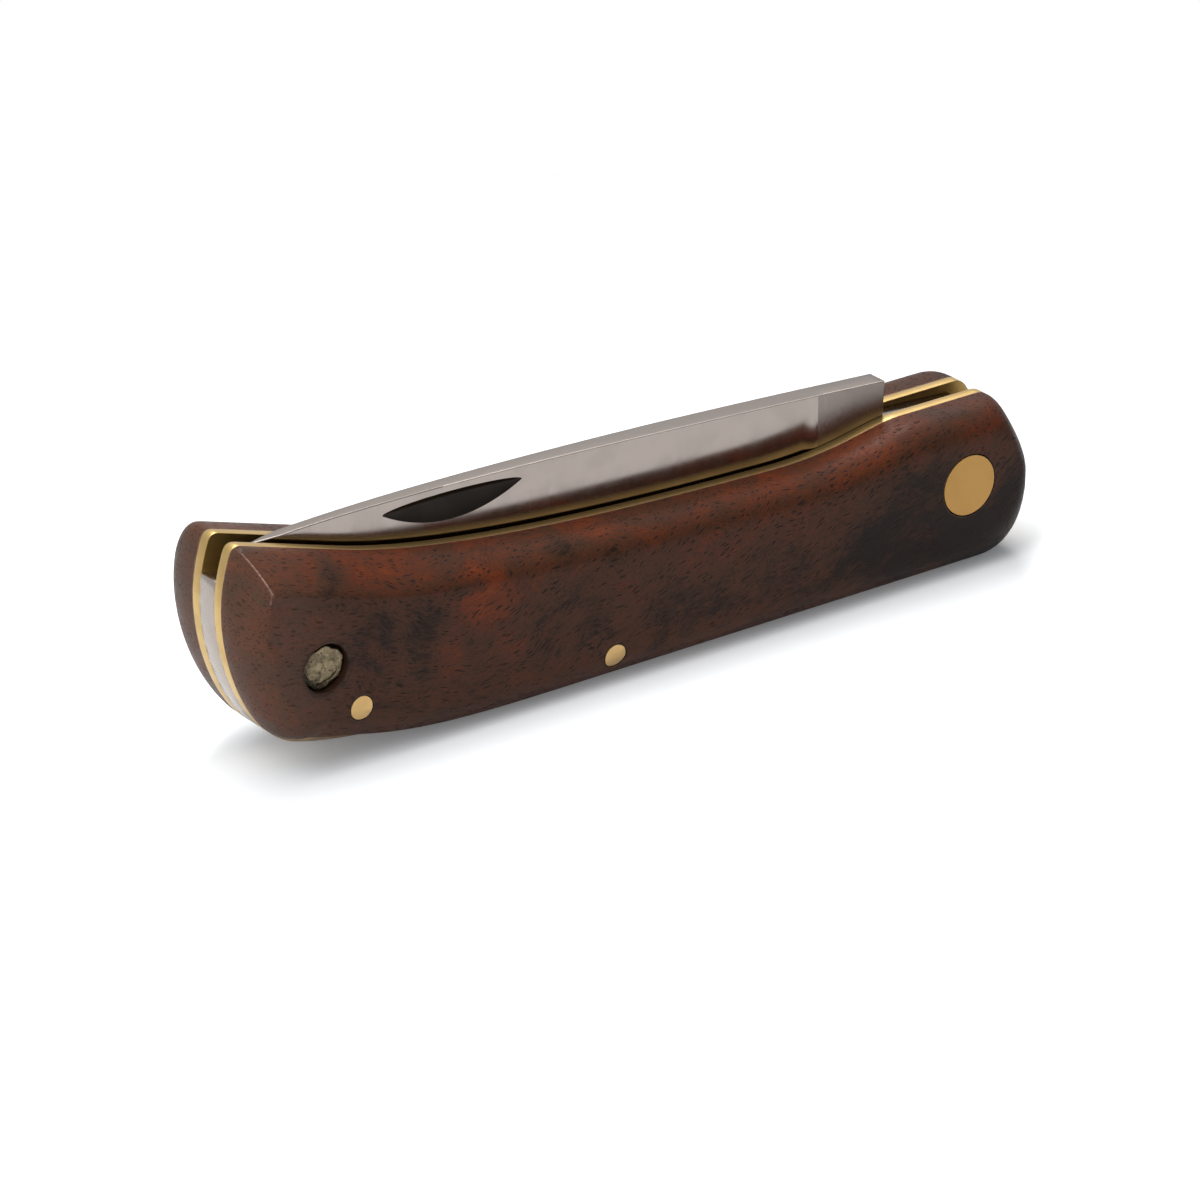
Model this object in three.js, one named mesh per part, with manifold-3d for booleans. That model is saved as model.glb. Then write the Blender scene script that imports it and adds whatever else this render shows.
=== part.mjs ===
// Folding pocket knife: one blade held by a backspring, wooden scales on brass liners.
// Millimetres. The knife is closed and stands on its back. X runs from the butt to the pivot end,
// Y through the thickness, with the nail nick towards -Y, and Z up to the open side of the handle.
// The origin lies under the middle of the handle.
import * as THREE from "three";
import { mergeVertices } from "three/addons/utils/BufferGeometryUtils.js";
import Module from "manifold-3d";

const wasm = await Module();
wasm.setup();

// Handle outline, seen from the side
const handleLength = 97;
const buttCornerInset = 1.45;
const buttCornerHeight = 24.8;
const buttBulgeHeight = 17.8;
const buttBulgeReachUp = 3.5;
const buttBulgeReachDown = 6.6;
const heelInset = 8.2;
const heelHeight = 2.15;
const heelSlope = 0.3;
const heelReachToButt = 4.9;
const heelReachToBack = 6.5;
const backLiftStart = 38;
const backLiftReach = 12;
const hookRun = 12.55;
const hookDrop = 3.8;
const hookReach = 10.4;
const waistFromPivot = 21.9;
const waistHeight = 15.7;
const waistSlope = 0.026;
const waistReachToHook = 26;
const waistReachToShoulder = 9;
const shoulderFromPivot = 5.4;
const shoulderReach = 4;
const pivotEndHeight = 17.4;
const noseTopInset = 3.2;
const noseHeight = 9.3;
const noseReachUp = 3.3;
const noseReachDown = 4.5;
const noseBottomInset = 1.2;

// Softened corners of the outline, as lengths cut off each side in the brass and in the wood's faces
const buttCornerCut = 1;
const noseTopCut = 1.1;
const noseBottomCut = 3;
const frontButtCornerFaceCut = 0.4;
const rearButtCornerFaceCut = 4.2;
const noseTopFaceCut = 3.2;
const noseBottomFaceCut = 6;

// Thicknesses, from the middle outwards
const springThickness = 2.5;
const linerThickness = 1.2;
const scaleThickness = 5;

// Rounding of the scales: how far it comes in from each edge, and how deep it is through the wood
const topRounding = 3.4;
const buttRounding = 2.1;
const noseRounding = 2.2;
const backRounding = 4;
const roundingDepth = 4.4;
const topFullness = 2.8;
const sideFullness = 2;
const mitreFullness = 0.5;

// The butt's rounding stops short of a full quarter round, so a soft edge shows where it meets the face
const buttRoundShare = 0.97;

// Where the wood is eased back from the metal round the heel, by how far the outline has turned
const heelEase = 1;
const heelEaseFull = THREE.MathUtils.degToRad(10);
const heelEaseFade = THREE.MathUtils.degToRad(28);
const heelEaseEnd = THREE.MathUtils.degToRad(70);

// Pins and rivets
const pivotFromNose = 9.1;
const pivotHeight = 10.05;
const pivotShankRadius = 2;
const pivotHeadRadius = 3.3;
const smallPinRadius = 1.25;
const centrePinFromButt = 43;
const centrePinHeight = 3.4;
const rearPinFromButt = 12.6;
const rearPinHeight = 6.45;
const buttRivetFromButt = 8.7;
const buttRivetHeight = 11.7;
const buttRivetShankRadius = 1.5;
const buttRivetHeadRadius = 2.4;
const buttRivetHeadHeight = 0.8;
const buttRivetHeadDepth = 0.7;
const buttRivetDome = 0.2;
const recessRadius = 2.55;
const pinClearance = 0.04;
const seatClearance = 0.05;

// Blade, closed
const bladeSideClearance = 0.05;
const tipFromButt = 4.8;
const tipHeight = 23.15;
const tipHalfThickness = 0.6;
const tipBluntness = 0.15;
const tipWedge = 0.11;
const spineTipReach = 13.2;
const spineTipRise = 1.2;
const spineShoulderReach = 36.4;
const spineShoulderRise = 2.4;
const spineShoulderHeight = 21.1;
const taperLength = 50;
const edgeHalfThickness = 0.08;
const edgeHeight = 7;
const bellyStart = 36;
const bellyReach = 16;
const bellyTipReachAlong = 4.7;
const bellyTipReachDown = 8.9;
const plungeFromPivot = 14.9;

// Tang: its two seats lie flat on the spring with the blade closed and open
const openAngle = THREE.MathUtils.degToRad(177);
const tangSeatRadius = 6.6;
const tangSeatEnd = 3.5;
const tangShoulder = 6.85;
const kickFromPivot = 7.6;
const kickRadius = 0.9;
const ricassoRise = 2.8;

// Nail nick, cut by the rim of a wheel
const nickFromButt = 28.1;
const nickBelowSpine = 0.85;
const nickLength = 16.2;
const nickHeight = 2.9;
const nickRimDrop = 0.6;
const nickWheelRadius = 65;

// Backspring
const springShoulderClearance = 0.1;
const springSeatLength = 17;
const springWaist = 3.1;
const springWaistFromPivot = 28;
const springBladeGap = 1.2;
const springFulcrumFlat = 3.5;
const springButtTop = 20.85;
const springLipWidth = 0.8;
const springLipDrop = 3.5;

// Fineness of the curved faces
const backSteps = 38;
const topSteps = 28;
const noseSteps = 12;
const bendWeight = 14;
const runPoints = 300;
const roundingSteps = 7;
const cornerSteps = 5;
const pinSides = 40;
const curveSteps = 24;
const stationsAlongBlade = 30;
const nickSegment = 1.1;
const cornerReach = 1;
const cutMargin = 5;
const mergeDistance = 1e-4;

// Places that follow from the sizes
const buttX = -handleLength / 2;
const noseX = handleLength / 2;
const pivotX = noseX - pivotFromNose;
const springSide = springThickness / 2;
const linerSide = springSide + linerThickness;
const scaleSide = linerSide + scaleThickness;
const bladeSide = springSide - bladeSideClearance;
const springSeatHeight = pivotHeight - tangSeatRadius - seatClearance;
const pivot = new THREE.Vector2(pivotX, pivotHeight);
const fromButt = (x, z) => new THREE.Vector2(buttX + x, z);
const fromNose = (x, z) => new THREE.Vector2(noseX - x, z);
const fromPivot = (x, z) => new THREE.Vector2(pivotX + x, z);

// Outline edges

// The three edges run clockwise and meet in the three corners of the handle.
function backEdge() {
  const lift = fromButt(backLiftStart, 0);
  const heel = fromButt(heelInset, heelHeight);
  const bulge = fromButt(0, buttBulgeHeight);
  const towards = (reach) => fromButt(heelInset + reach, heelHeight - reach * heelSlope);
  const afterLift = fromButt(backLiftStart - backLiftReach, 0);
  const belowBulge = fromButt(0, buttBulgeHeight - buttBulgeReachDown);
  const edge = new THREE.CurvePath();
  edge.add(new THREE.LineCurve(fromNose(noseBottomInset, 0), lift));
  edge.add(new THREE.CubicBezierCurve(lift, afterLift, towards(heelReachToBack), heel));
  edge.add(new THREE.CubicBezierCurve(heel, towards(-heelReachToButt), belowBulge, bulge));
  edge.add(
    new THREE.QuadraticBezierCurve(
      bulge,
      fromButt(0, buttBulgeHeight + buttBulgeReachUp),
      fromButt(buttCornerInset, buttCornerHeight),
    ),
  );
  return edge;
}

function topEdge() {
  const corner = fromButt(buttCornerInset, buttCornerHeight);
  const hook = fromButt(buttCornerInset + hookRun, buttCornerHeight - hookDrop);
  const waist = fromPivot(-waistFromPivot, waistHeight);
  const shoulder = fromPivot(-shoulderFromPivot, pivotEndHeight);
  const hookSlope = new THREE.Vector2().subVectors(hook, corner).normalize();
  const afterHook = hook.clone().addScaledVector(hookSlope, hookReach);
  const edge = new THREE.CurvePath();
  edge.add(new THREE.LineCurve(corner, hook));
  edge.add(
    new THREE.CubicBezierCurve(
      hook,
      afterHook,
      fromPivot(-waistFromPivot - waistReachToHook, waistHeight + waistReachToHook * waistSlope),
      waist,
    ),
  );
  edge.add(
    new THREE.CubicBezierCurve(
      waist,
      fromPivot(-waistFromPivot + waistReachToShoulder, waistHeight - waistReachToShoulder * waistSlope),
      fromPivot(-shoulderFromPivot - shoulderReach, pivotEndHeight),
      shoulder,
    ),
  );
  edge.add(new THREE.LineCurve(shoulder, fromNose(noseTopInset, pivotEndHeight)));
  return edge;
}

function noseEdge() {
  const tip = fromNose(0, noseHeight);
  const edge = new THREE.CurvePath();
  edge.add(
    new THREE.QuadraticBezierCurve(
      fromNose(noseTopInset, pivotEndHeight),
      fromNose(0, noseHeight + noseReachUp),
      tip,
    ),
  );
  edge.add(
    new THREE.QuadraticBezierCurve(
      tip,
      fromNose(0, noseHeight - noseReachDown),
      fromNose(noseBottomInset, 0),
    ),
  );
  return edge;
}

// Points along the outline

// Inwards is to the right of a run of points, and the distance depends on which way is inwards there.
function inset(points, distanceFor) {
  const last = points.length - 1;
  return points.map((point, i) => {
    const along = points[Math.min(i + 1, last)].clone().sub(points[Math.max(i - 1, 0)]).normalize();
    const inward = new THREE.Vector2(along.y, -along.x);
    return point.clone().addScaledVector(inward, distanceFor(inward));
  });
}

// A run drawn a little past both of its ends, so that neighbouring runs cross.
function prolonged(points) {
  const beyond = (end, before) => {
    const away = end.clone().sub(before).normalize();
    return end.clone().addScaledVector(away, cornerReach);
  };
  return [beyond(points[0], points[1]), ...points, beyond(points.at(-1), points.at(-2))];
}

function segmentsMeet(a, b, c, d) {
  const ab = b.clone().sub(a);
  const cd = d.clone().sub(c);
  const ac = c.clone().sub(a);
  const area = ab.cross(cd);
  const alongFirst = ac.cross(cd) / area;
  const alongSecond = ac.cross(ab) / area;
  const within = (share) => share >= 0 && share <= 1;
  return within(alongFirst) && within(alongSecond) ? a.clone().addScaledVector(ab, alongFirst) : null;
}

function crossing(first, second) {
  for (let i = first.length - 1; i > 0; i--)
    for (let j = 1; j < second.length; j++) {
      const point = segmentsMeet(first[i - 1], first[i], second[j - 1], second[j]);
      if (point) return { lastBefore: i - 1, firstAfter: j, point };
    }
  return null;
}

// Points spread along a run, closer together where it bends.
function spread(points, steps) {
  const reached = [0];
  for (let i = 1; i < points.length; i++) {
    const along = points[i].clone().sub(points[i - 1]);
    const before = i > 1 ? points[i - 1].clone().sub(points[i - 2]) : along;
    const bend = Math.abs(Math.atan2(before.cross(along), before.dot(along)));
    reached.push(reached[i - 1] + along.length() + bendWeight * bend);
  }
  let next = 1;
  return Array.from({ length: steps + 1 }, (_, step) => {
    const wanted = (reached.at(-1) * step) / steps;
    while (next < points.length - 1 && reached[next] < wanted) next++;
    const share = (wanted - reached[next - 1]) / (reached[next] - reached[next - 1]);
    return points[next - 1].clone().lerp(points[next], share);
  });
}

// In the order of the runs. A corner lies at the end of its run. The front scale keeps a crisp mitre at the
// butt, and the same corner of the rear scale is worn round.
const noseCuts = [
  [noseTopCut, noseTopFaceCut, sideFullness],
  [noseBottomCut, noseBottomFaceCut, sideFullness],
];
const frontCuts = [[buttCornerCut, frontButtCornerFaceCut, mitreFullness], ...noseCuts];
const rearCuts = [[buttCornerCut, rearButtCornerFaceCut, sideFullness], ...noseCuts];
const runSteps = [backSteps, topSteps, noseSteps];
const outlineEdges = [backEdge(), topEdge(), noseEdge()];
const outlineRuns = outlineEdges.map((edge) => prolonged(edge.getSpacedPoints(runPoints)));

// How far a rounded edge has come in at a share of its depth. A fuller one stays out for longer.
const comeIn = (depthShare, fullness) => 1 - (1 - depthShare ** fullness) ** (1 / fullness);

// The rounding differs on the top, the back and the two ends, and blends where the outline turns.
function roundingAt(depthShare, inward) {
  const side = comeIn(depthShare, sideFullness);
  const fullButt = comeIn(buttRoundShare, sideFullness);
  const butt = comeIn(depthShare * buttRoundShare, sideFullness) / fullButt;
  const upright = inward.y > 0 ? backRounding * side : topRounding * comeIn(depthShare, topFullness);
  const lengthways = inward.x > 0 ? buttRounding * butt : noseRounding * side;
  return upright * inward.y ** 2 + lengthways * inward.x ** 2;
}

// How far the wood stands back from the metal round the heel.
function easeAt(inward) {
  const turn = Math.atan2(inward.x, inward.y);
  const rising = THREE.MathUtils.smoothstep(turn, 0, heelEaseFull);
  return heelEase * rising * (1 - THREE.MathUtils.smoothstep(turn, heelEaseFade, heelEaseEnd));
}

// A run without its first stretch, which a softened corner takes.
function trimmed(points, corner, cut) {
  const kept = points.filter((point) => point.distanceTo(corner) > cut + mergeDistance);
  return [corner.clone().lerp(kept[0], cut / kept[0].distanceTo(corner)), ...kept];
}

// The outline moved in by a distance that depends on the direction. Its three runs end where they cross,
// and an arc softens each corner.
function softenedOutline(distanceFor, cuts) {
  const runs = outlineRuns.map((run) => inset(run, distanceFor));
  const corners = runs.map((run, i) => crossing(run, runs[(i + 1) % runs.length]));
  const between = runs.map((run, i) => {
    const before = (i + runs.length - 1) % runs.length;
    const whole = run.slice(corners[before].firstAfter, corners[i].lastBefore + 1);
    const fromStart = trimmed(whole, corners[before].point, cuts[before]);
    return spread(trimmed(fromStart.reverse(), corners[i].point, cuts[i]).reverse(), runSteps[i]);
  });
  return between.flatMap((run, i) => {
    const next = between[(i + 1) % between.length];
    const arc = new THREE.QuadraticBezierCurve(run.at(-1), corners[i].point, next[0]).getPoints(cornerSteps);
    return [...run.slice(0, -1), ...arc.slice(0, -1)];
  });
}

// The outline of the wood at a share of the rounding's depth.
function woodOutline(depthShare, cornerCuts) {
  const cuts = cornerCuts.map(([inBrass, inFace, fullness]) =>
    THREE.MathUtils.lerp(inBrass, inFace, comeIn(depthShare, fullness)),
  );
  return softenedOutline((inward) => roundingAt(depthShare, inward) + easeAt(inward), cuts);
}

const metalOutline = softenedOutline(
  () => 0,
  frontCuts.map(([inBrass]) => inBrass),
);

// Solids

function solid(geometry) {
  const bare = geometry.index ? geometry.toNonIndexed() : geometry.clone();
  bare.deleteAttribute("normal");
  bare.deleteAttribute("uv");
  const merged = mergeVertices(bare, mergeDistance);
  const corners = merged.index.array;
  const triVerts = [];
  for (let i = 0; i < corners.length; i += 3) {
    const [a, b, c] = corners.subarray(i, i + 3);
    if (a !== b && b !== c && c !== a) triVerts.push(a, b, c);
  }
  const mesh = new wasm.Mesh({
    numProp: 3,
    vertProperties: merged.attributes.position.array,
    triVerts: new Uint32Array(triVerts),
  });
  return new wasm.Manifold(mesh);
}

function geometryOf(body) {
  const mesh = body.getMesh();
  const geometry = new THREE.BufferGeometry();
  geometry.setAttribute("position", new THREE.BufferAttribute(mesh.vertProperties, 3));
  geometry.setIndex(new THREE.BufferAttribute(mesh.triVerts, 1));
  geometry.computeVertexNormals();
  return geometry;
}

// A closed skin over rings of as many points each, with flat ends. The rings run clockwise in the view
// that flatten gives, and follow each other away from the viewer.
function loft(rings, flatten) {
  const count = rings[0].length;
  const triangles = [];
  for (let first = 0; first < (rings.length - 1) * count; first += count)
    for (let i = 0; i < count; i++) {
      const here = first + i;
      const next = first + ((i + 1) % count);
      triangles.push(here, next, here + count, next, next + count, here + count);
    }
  const farStart = (rings.length - 1) * count;
  const nearEnd = THREE.ShapeUtils.triangulateShape(rings[0].map(flatten), []);
  const farEnd = THREE.ShapeUtils.triangulateShape(rings.at(-1).map(flatten), []);
  for (const [a, b, c] of nearEnd) triangles.push(a, b, c);
  for (const [a, b, c] of farEnd) triangles.push(farStart + c, farStart + b, farStart + a);
  const geometry = new THREE.BufferGeometry().setFromPoints(rings.flat());
  geometry.setIndex(triangles);
  return solid(geometry);
}

// A flat piece seen from the side, between two places through the thickness.
function plate(points, fromY, toY) {
  const straight = { depth: toY - fromY, bevelEnabled: false };
  const geometry = new THREE.ExtrudeGeometry(new THREE.Shape(points), straight);
  geometry.rotateX(Math.PI / 2);
  geometry.translate(0, toY, 0);
  return solid(geometry);
}

function rod(centre, radius, fromY, toY) {
  const geometry = new THREE.CylinderGeometry(radius, radius, toY - fromY, pinSides);
  geometry.translate(centre.x, (fromY + toY) / 2, centre.y);
  return solid(geometry);
}

// The cutter for a hole whose flats stay clear of the pin in it.
function holeFor(centre, pinRadius, clearance = pinClearance) {
  const radius = (pinRadius + clearance) / Math.cos(Math.PI / pinSides);
  return rod(centre, radius, -scaleSide - cutMargin, scaleSide + cutMargin);
}

// Side view of the blade

const plungeFromButt = handleLength - pivotFromNose - plungeFromPivot;
const closedFromOpen = (x, z) => new THREE.Vector2(x, z).rotateAround(new THREE.Vector2(), openAngle);
const notch = closedFromOpen(tangShoulder, -tangSeatRadius);
const alongShoulder = closedFromOpen(0, -1);
const shoulderRise = (spineShoulderHeight - pivotHeight - notch.y) / alongShoulder.y;
const shoulderTop = pivot.clone().add(notch).addScaledVector(alongShoulder, shoulderRise);
const tip = fromButt(tipFromButt, tipHeight);
const spineLine = new THREE.CubicBezierCurve(
  tip,
  new THREE.Vector2(tip.x + spineTipReach, tip.y + spineTipRise),
  new THREE.Vector2(shoulderTop.x - spineShoulderReach, shoulderTop.y + spineShoulderRise),
  shoulderTop,
).getPoints(2 * curveSteps);
const edgeLine = [
  ...new THREE.CubicBezierCurve(
    tip,
    new THREE.Vector2(tip.x + bellyTipReachAlong, tip.y - bellyTipReachDown),
    fromButt(bellyStart - bellyReach, edgeHeight),
    fromButt(bellyStart, edgeHeight),
  ).getPoints(2 * curveSteps),
  new THREE.Vector2(pivotX, edgeHeight),
];

// Handle body

// The whole handle as one block, with both sides rounded over. The scales and the pin ends come from it.
function handleBlock() {
  const rings = [];
  const addRing = (share, y, cuts) =>
    rings.push(woodOutline(share, cuts).map((point) => new THREE.Vector3(point.x, y, point.y)));
  const straightSide = scaleSide - roundingDepth;
  const steps = Array.from({ length: roundingSteps + 1 }, (_, i) => i / roundingSteps);
  const shares = steps.map((step) => Math.sin((Math.PI / 2) * step));
  const fromFace = [...shares].reverse();
  for (const share of fromFace) addRing(share, -straightSide - roundingDepth * share, frontCuts);
  for (const share of shares) addRing(share, straightSide + roundingDepth * share, rearCuts);
  return loft(rings, (point) => new THREE.Vector2(point.x, point.z));
}

const block = handleBlock();
const centrePinPlace = fromButt(centrePinFromButt, centrePinHeight);
const rearPinPlace = fromButt(rearPinFromButt, rearPinHeight);
const buttRivetPlace = fromButt(buttRivetFromButt, buttRivetHeight);

// The side of the handle beyond one plane, as a plain box.
function slab(fromY, toY) {
  const length = handleLength + 2 * cutMargin;
  const height = 2 * buttCornerHeight + 2 * cutMargin;
  const box = new THREE.BoxGeometry(length, toY - fromY, height);
  box.translate(0, (fromY + toY) / 2, 0);
  return solid(box);
}

function scale(side) {
  const near = linerSide;
  const far = scaleSide + cutMargin;
  const half = block.intersect(side > 0 ? slab(near, far) : slab(-far, -near));
  const recessFloor = scaleSide - buttRivetHeadDepth - buttRivetHeadHeight - seatClearance;
  const recess = side > 0 ? [recessFloor, far] : [-far, -recessFloor];
  return half
    .subtract(holeFor(pivot, pivotHeadRadius))
    .subtract(holeFor(centrePinPlace, smallPinRadius))
    .subtract(holeFor(rearPinPlace, smallPinRadius))
    .subtract(holeFor(buttRivetPlace, buttRivetShankRadius))
    .subtract(rod(buttRivetPlace, recessRadius, ...recess));
}

function liner(side) {
  const faces = side > 0 ? [springSide, linerSide] : [-linerSide, -springSide];
  return plate(metalOutline, ...faces)
    .subtract(holeFor(pivot, pivotShankRadius))
    .subtract(holeFor(centrePinPlace, smallPinRadius))
    .subtract(holeFor(rearPinPlace, smallPinRadius))
    .subtract(holeFor(buttRivetPlace, buttRivetShankRadius));
}

// Backspring: one bar along the back that widens under the blade's belly into the block that closes the
// butt. It ends in a lip that slopes down to the blade.
function backspring() {
  const endX = tangShoulder - springShoulderClearance;
  const seatEnd = fromPivot(endX - springSeatLength, springSeatHeight);
  const waist = fromPivot(-springWaistFromPivot, springWaist);
  const fulcrum = fromButt(centrePinFromButt + springFulcrumFlat, edgeHeight - springBladeGap);
  const lip = fromButt(springLipWidth, springButtTop);
  const belowBlade = inset(edgeLine, () => springBladeGap).reverse();
  const shape = new THREE.Shape();
  const levelCurve = (from, to) =>
    shape.bezierCurveTo((from.x + to.x) / 2, from.y, (from.x + to.x) / 2, to.y, to.x, to.y);
  shape.moveTo(pivotX + endX, -cutMargin);
  shape.lineTo(pivotX + endX, springSeatHeight);
  shape.lineTo(seatEnd.x, seatEnd.y);
  levelCurve(seatEnd, waist);
  levelCurve(waist, fulcrum);
  for (const { x, y } of belowBlade) if (x < fulcrum.x && y < lip.y - springLipDrop) shape.lineTo(x, y);
  shape.lineTo(lip.x, lip.y);
  shape.lineTo(buttX - cutMargin, springButtTop);
  shape.lineTo(buttX - cutMargin, -cutMargin);
  return plate(metalOutline, -springSide, springSide)
    .intersect(plate(shape.getPoints(curveSteps / 2), -springSide - cutMargin, springSide + cutMargin))
    .subtract(holeFor(centrePinPlace, smallPinRadius))
    .subtract(holeFor(rearPinPlace, smallPinRadius))
    .subtract(holeFor(buttRivetPlace, buttRivetShankRadius));
}

// Pins and rivets

const smallPin = (place) =>
  rod(place, smallPinRadius, -scaleSide - cutMargin, scaleSide + cutMargin).intersect(block);

// The pivot rivet has its flush head on the nail nick side, and the burr takes its peened end.
function pivotRivet() {
  const headSeat = -linerSide - seatClearance;
  const head = rod(pivot, pivotHeadRadius, -scaleSide, headSeat);
  return rod(pivot, pivotShankRadius, -scaleSide, scaleSide).add(head);
}

function pivotBurr() {
  const ring = rod(pivot, pivotHeadRadius, linerSide + seatClearance, scaleSide);
  return ring.subtract(holeFor(pivot, pivotShankRadius));
}

// A plain steel rivet hammered over in a recess on either side.
function buttRivet() {
  const headFace = scaleSide - buttRivetHeadDepth;
  const rim = headFace - buttRivetDome;
  const underHead = headFace - buttRivetHeadHeight;
  const dome = new THREE.QuadraticBezierCurve(
    new THREE.Vector2(buttRivetHeadRadius, rim),
    new THREE.Vector2(buttRivetHeadRadius * (2 / 3), headFace),
    new THREE.Vector2(0, headFace),
  ).getPoints(cornerSteps);
  const upper = [
    new THREE.Vector2(buttRivetShankRadius, underHead),
    new THREE.Vector2(buttRivetHeadRadius, underHead),
    ...dome,
  ];
  const lower = upper.map((point) => new THREE.Vector2(point.x, -point.y)).reverse();
  const geometry = new THREE.LatheGeometry([...lower, ...upper], pinSides);
  geometry.translate(buttRivetPlace.x, 0, buttRivetPlace.y);
  return solid(geometry);
}

// Blade

function heightAt(line, x) {
  const next = Math.max(1, line.findIndex((point) => point.x >= x));
  const [before, after] = [line[next - 1], line[next]];
  return THREE.MathUtils.mapLinear(x, before.x, after.x, before.y, after.y);
}

// Half the blade's thickness at its back: full stock near the tang, thinner towards the point.
function spineHalfThickness(x) {
  const taper = THREE.MathUtils.mapLinear(x - tip.x, 0, taperLength, tipHalfThickness, bladeSide);
  const wedge = edgeHalfThickness + (heightAt(spineLine, x) - heightAt(edgeLine, x)) * tipWedge;
  return Math.min(bladeSide, taper, wedge);
}

// How far the flat grind stands out from the middle of the blade.
function faceAt(x, z) {
  const edge = heightAt(edgeLine, x);
  const share = (z - edge) / (heightAt(spineLine, x) - edge);
  return THREE.MathUtils.lerp(edgeHalfThickness, spineHalfThickness(x), share);
}

function groundBlade() {
  const start = tip.x + tipBluntness;
  const end = buttX + plungeFromButt + seatClearance;
  const stations = Array.from({ length: stationsAlongBlade + 1 }, (_, i) => (i / stationsAlongBlade) ** 2);
  const rings = stations.map((share) => {
    const x = THREE.MathUtils.lerp(start, end, share);
    const back = spineHalfThickness(x);
    const corners = [
      [-edgeHalfThickness, heightAt(edgeLine, x)],
      [edgeHalfThickness, heightAt(edgeLine, x)],
      [back, heightAt(spineLine, x)],
      [-back, heightAt(spineLine, x)],
    ];
    return corners.map(([y, z]) => new THREE.Vector3(x, y, z));
  });
  return loft(rings, (point) => new THREE.Vector2(point.z, point.y));
}

// Ricasso and tang, at full stock thickness. The tang has a seat for the closed blade underneath, one
// for the open blade on top that ends in the square shoulder, and a round end that lifts the spring
// between them.
function ricassoAndTang() {
  const plunge = buttX + plungeFromButt;
  const camRadius = Math.hypot(tangSeatEnd, tangSeatRadius);
  const openSeatEnd = closedFromOpen(-tangSeatEnd, -tangSeatRadius);
  const shape = new THREE.Shape();
  shape.moveTo(plunge, heightAt(spineLine, plunge));
  for (const point of spineLine.filter(({ x }) => x > plunge)) shape.lineTo(point.x, point.y);
  shape.lineTo(pivotX + notch.x, pivotHeight + notch.y);
  shape.lineTo(pivotX + openSeatEnd.x, pivotHeight + openSeatEnd.y);
  const closedSeatEnd = new THREE.Vector2(tangSeatEnd, -tangSeatRadius);
  shape.absarc(pivotX, pivotHeight, camRadius, openSeatEnd.angle(), closedSeatEnd.angle(), true);
  const seat = pivotHeight - tangSeatRadius;
  shape.lineTo(pivotX - kickFromPivot + kickRadius, seat);
  shape.quadraticCurveTo(pivotX - kickFromPivot, seat, pivotX - kickFromPivot, seat + kickRadius);
  shape.lineTo(pivotX - kickFromPivot - kickRadius, seat + ricassoRise);
  shape.lineTo(plunge, edgeHeight);
  return plate(shape.getPoints(curveSteps / 2), -bladeSide, bladeSide);
}

// The nick's wheel lies along the back of the blade. Its rim is rounded towards the back and runs out as a
// cone towards the edge.
function nickWheel() {
  const centreX = buttX + nickFromButt;
  const onFace = (x, drop) => {
    const z = heightAt(spineLine, x) - nickBelowSpine - drop;
    return new THREE.Vector3(x, -faceAt(x, z), z);
  };
  const along = onFace(centreX + nickLength / 2, 0).sub(onFace(centreX - nickLength / 2, 0)).normalize();
  const up = onFace(centreX, 0).sub(onFace(centreX, nickHeight));
  const into = up.clone().cross(along).normalize();
  up.crossVectors(along, into);
  const depth = nickWheelRadius - Math.sqrt(nickWheelRadius ** 2 - (nickLength / 2) ** 2);
  const sides = Math.round((2 * Math.PI * nickWheelRadius) / nickSegment);
  const rim = new THREE.Vector2(nickWheelRadius, -nickRimDrop);
  const lowerEnd = new THREE.Vector2(nickWheelRadius - 2 * depth, nickRimDrop - 2 * nickHeight);
  const upperEnd = new THREE.Vector2(nickWheelRadius - 4 * depth, nickRimDrop);
  const shoulder = new THREE.Vector2(nickWheelRadius, 0);
  const rounded = new THREE.QuadraticBezierCurve(rim, shoulder, upperEnd).getPoints(2 * cornerSteps);
  const lowerMiddle = new THREE.Vector2(0, lowerEnd.y);
  const upperMiddle = new THREE.Vector2(0, upperEnd.y);
  const wheel = new THREE.LatheGeometry([lowerMiddle, lowerEnd, ...rounded, upperMiddle], sides);
  wheel.rotateX(Math.PI / 2);
  wheel.translate(0, depth - nickWheelRadius, 0);
  wheel.applyMatrix4(new THREE.Matrix4().makeBasis(along, into, up).setPosition(onFace(centreX, 0)));
  return solid(wheel);
}

function blade() {
  const forged = groundBlade().add(ricassoAndTang());
  return forged.subtract(nickWheel()).subtract(holeFor(pivot, pivotShankRadius));
}

// Assembly

const brass = { color: 0xc9a35e, roughness: 0.28, metalness: 1 };
const bladeSteel = { color: 0xb9b3ad, roughness: 0.22, metalness: 1 };
const springSteel = { color: 0xb4aeaa, roughness: 0.3, metalness: 1 };
const rivetSteel = { color: 0x8b8474, roughness: 0.6, metalness: 1 };
const wood = { color: 0x5e2f22, roughness: 0.45, metalness: 0 };

function piece(name, body, finish) {
  const mesh = new THREE.Mesh(geometryOf(body), new THREE.MeshStandardMaterial(finish));
  mesh.name = name;
  return mesh;
}

const handle = new THREE.Group();
handle.add(
  piece("front_scale", scale(-1), wood),
  piece("rear_scale", scale(1), wood),
  piece("front_liner", liner(-1), brass),
  piece("rear_liner", liner(1), brass),
  piece("backspring", backspring(), springSteel),
  piece("pivot_rivet", pivotRivet(), brass),
  piece("pivot_burr", pivotBurr(), brass),
  piece("centre_pin", smallPin(centrePinPlace), brass),
  piece("rear_pin", smallPin(rearPinPlace), brass),
  piece("butt_rivet", buttRivet(), rivetSteel),
);

// The blade turns about the middle of its group.
const bladeGroup = new THREE.Group();
bladeGroup.position.set(pivotX, 0, pivotHeight);
const bladeMesh = piece("blade", blade(), bladeSteel);
bladeMesh.geometry.translate(-pivotX, 0, -pivotHeight);
bladeGroup.add(bladeMesh);

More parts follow.
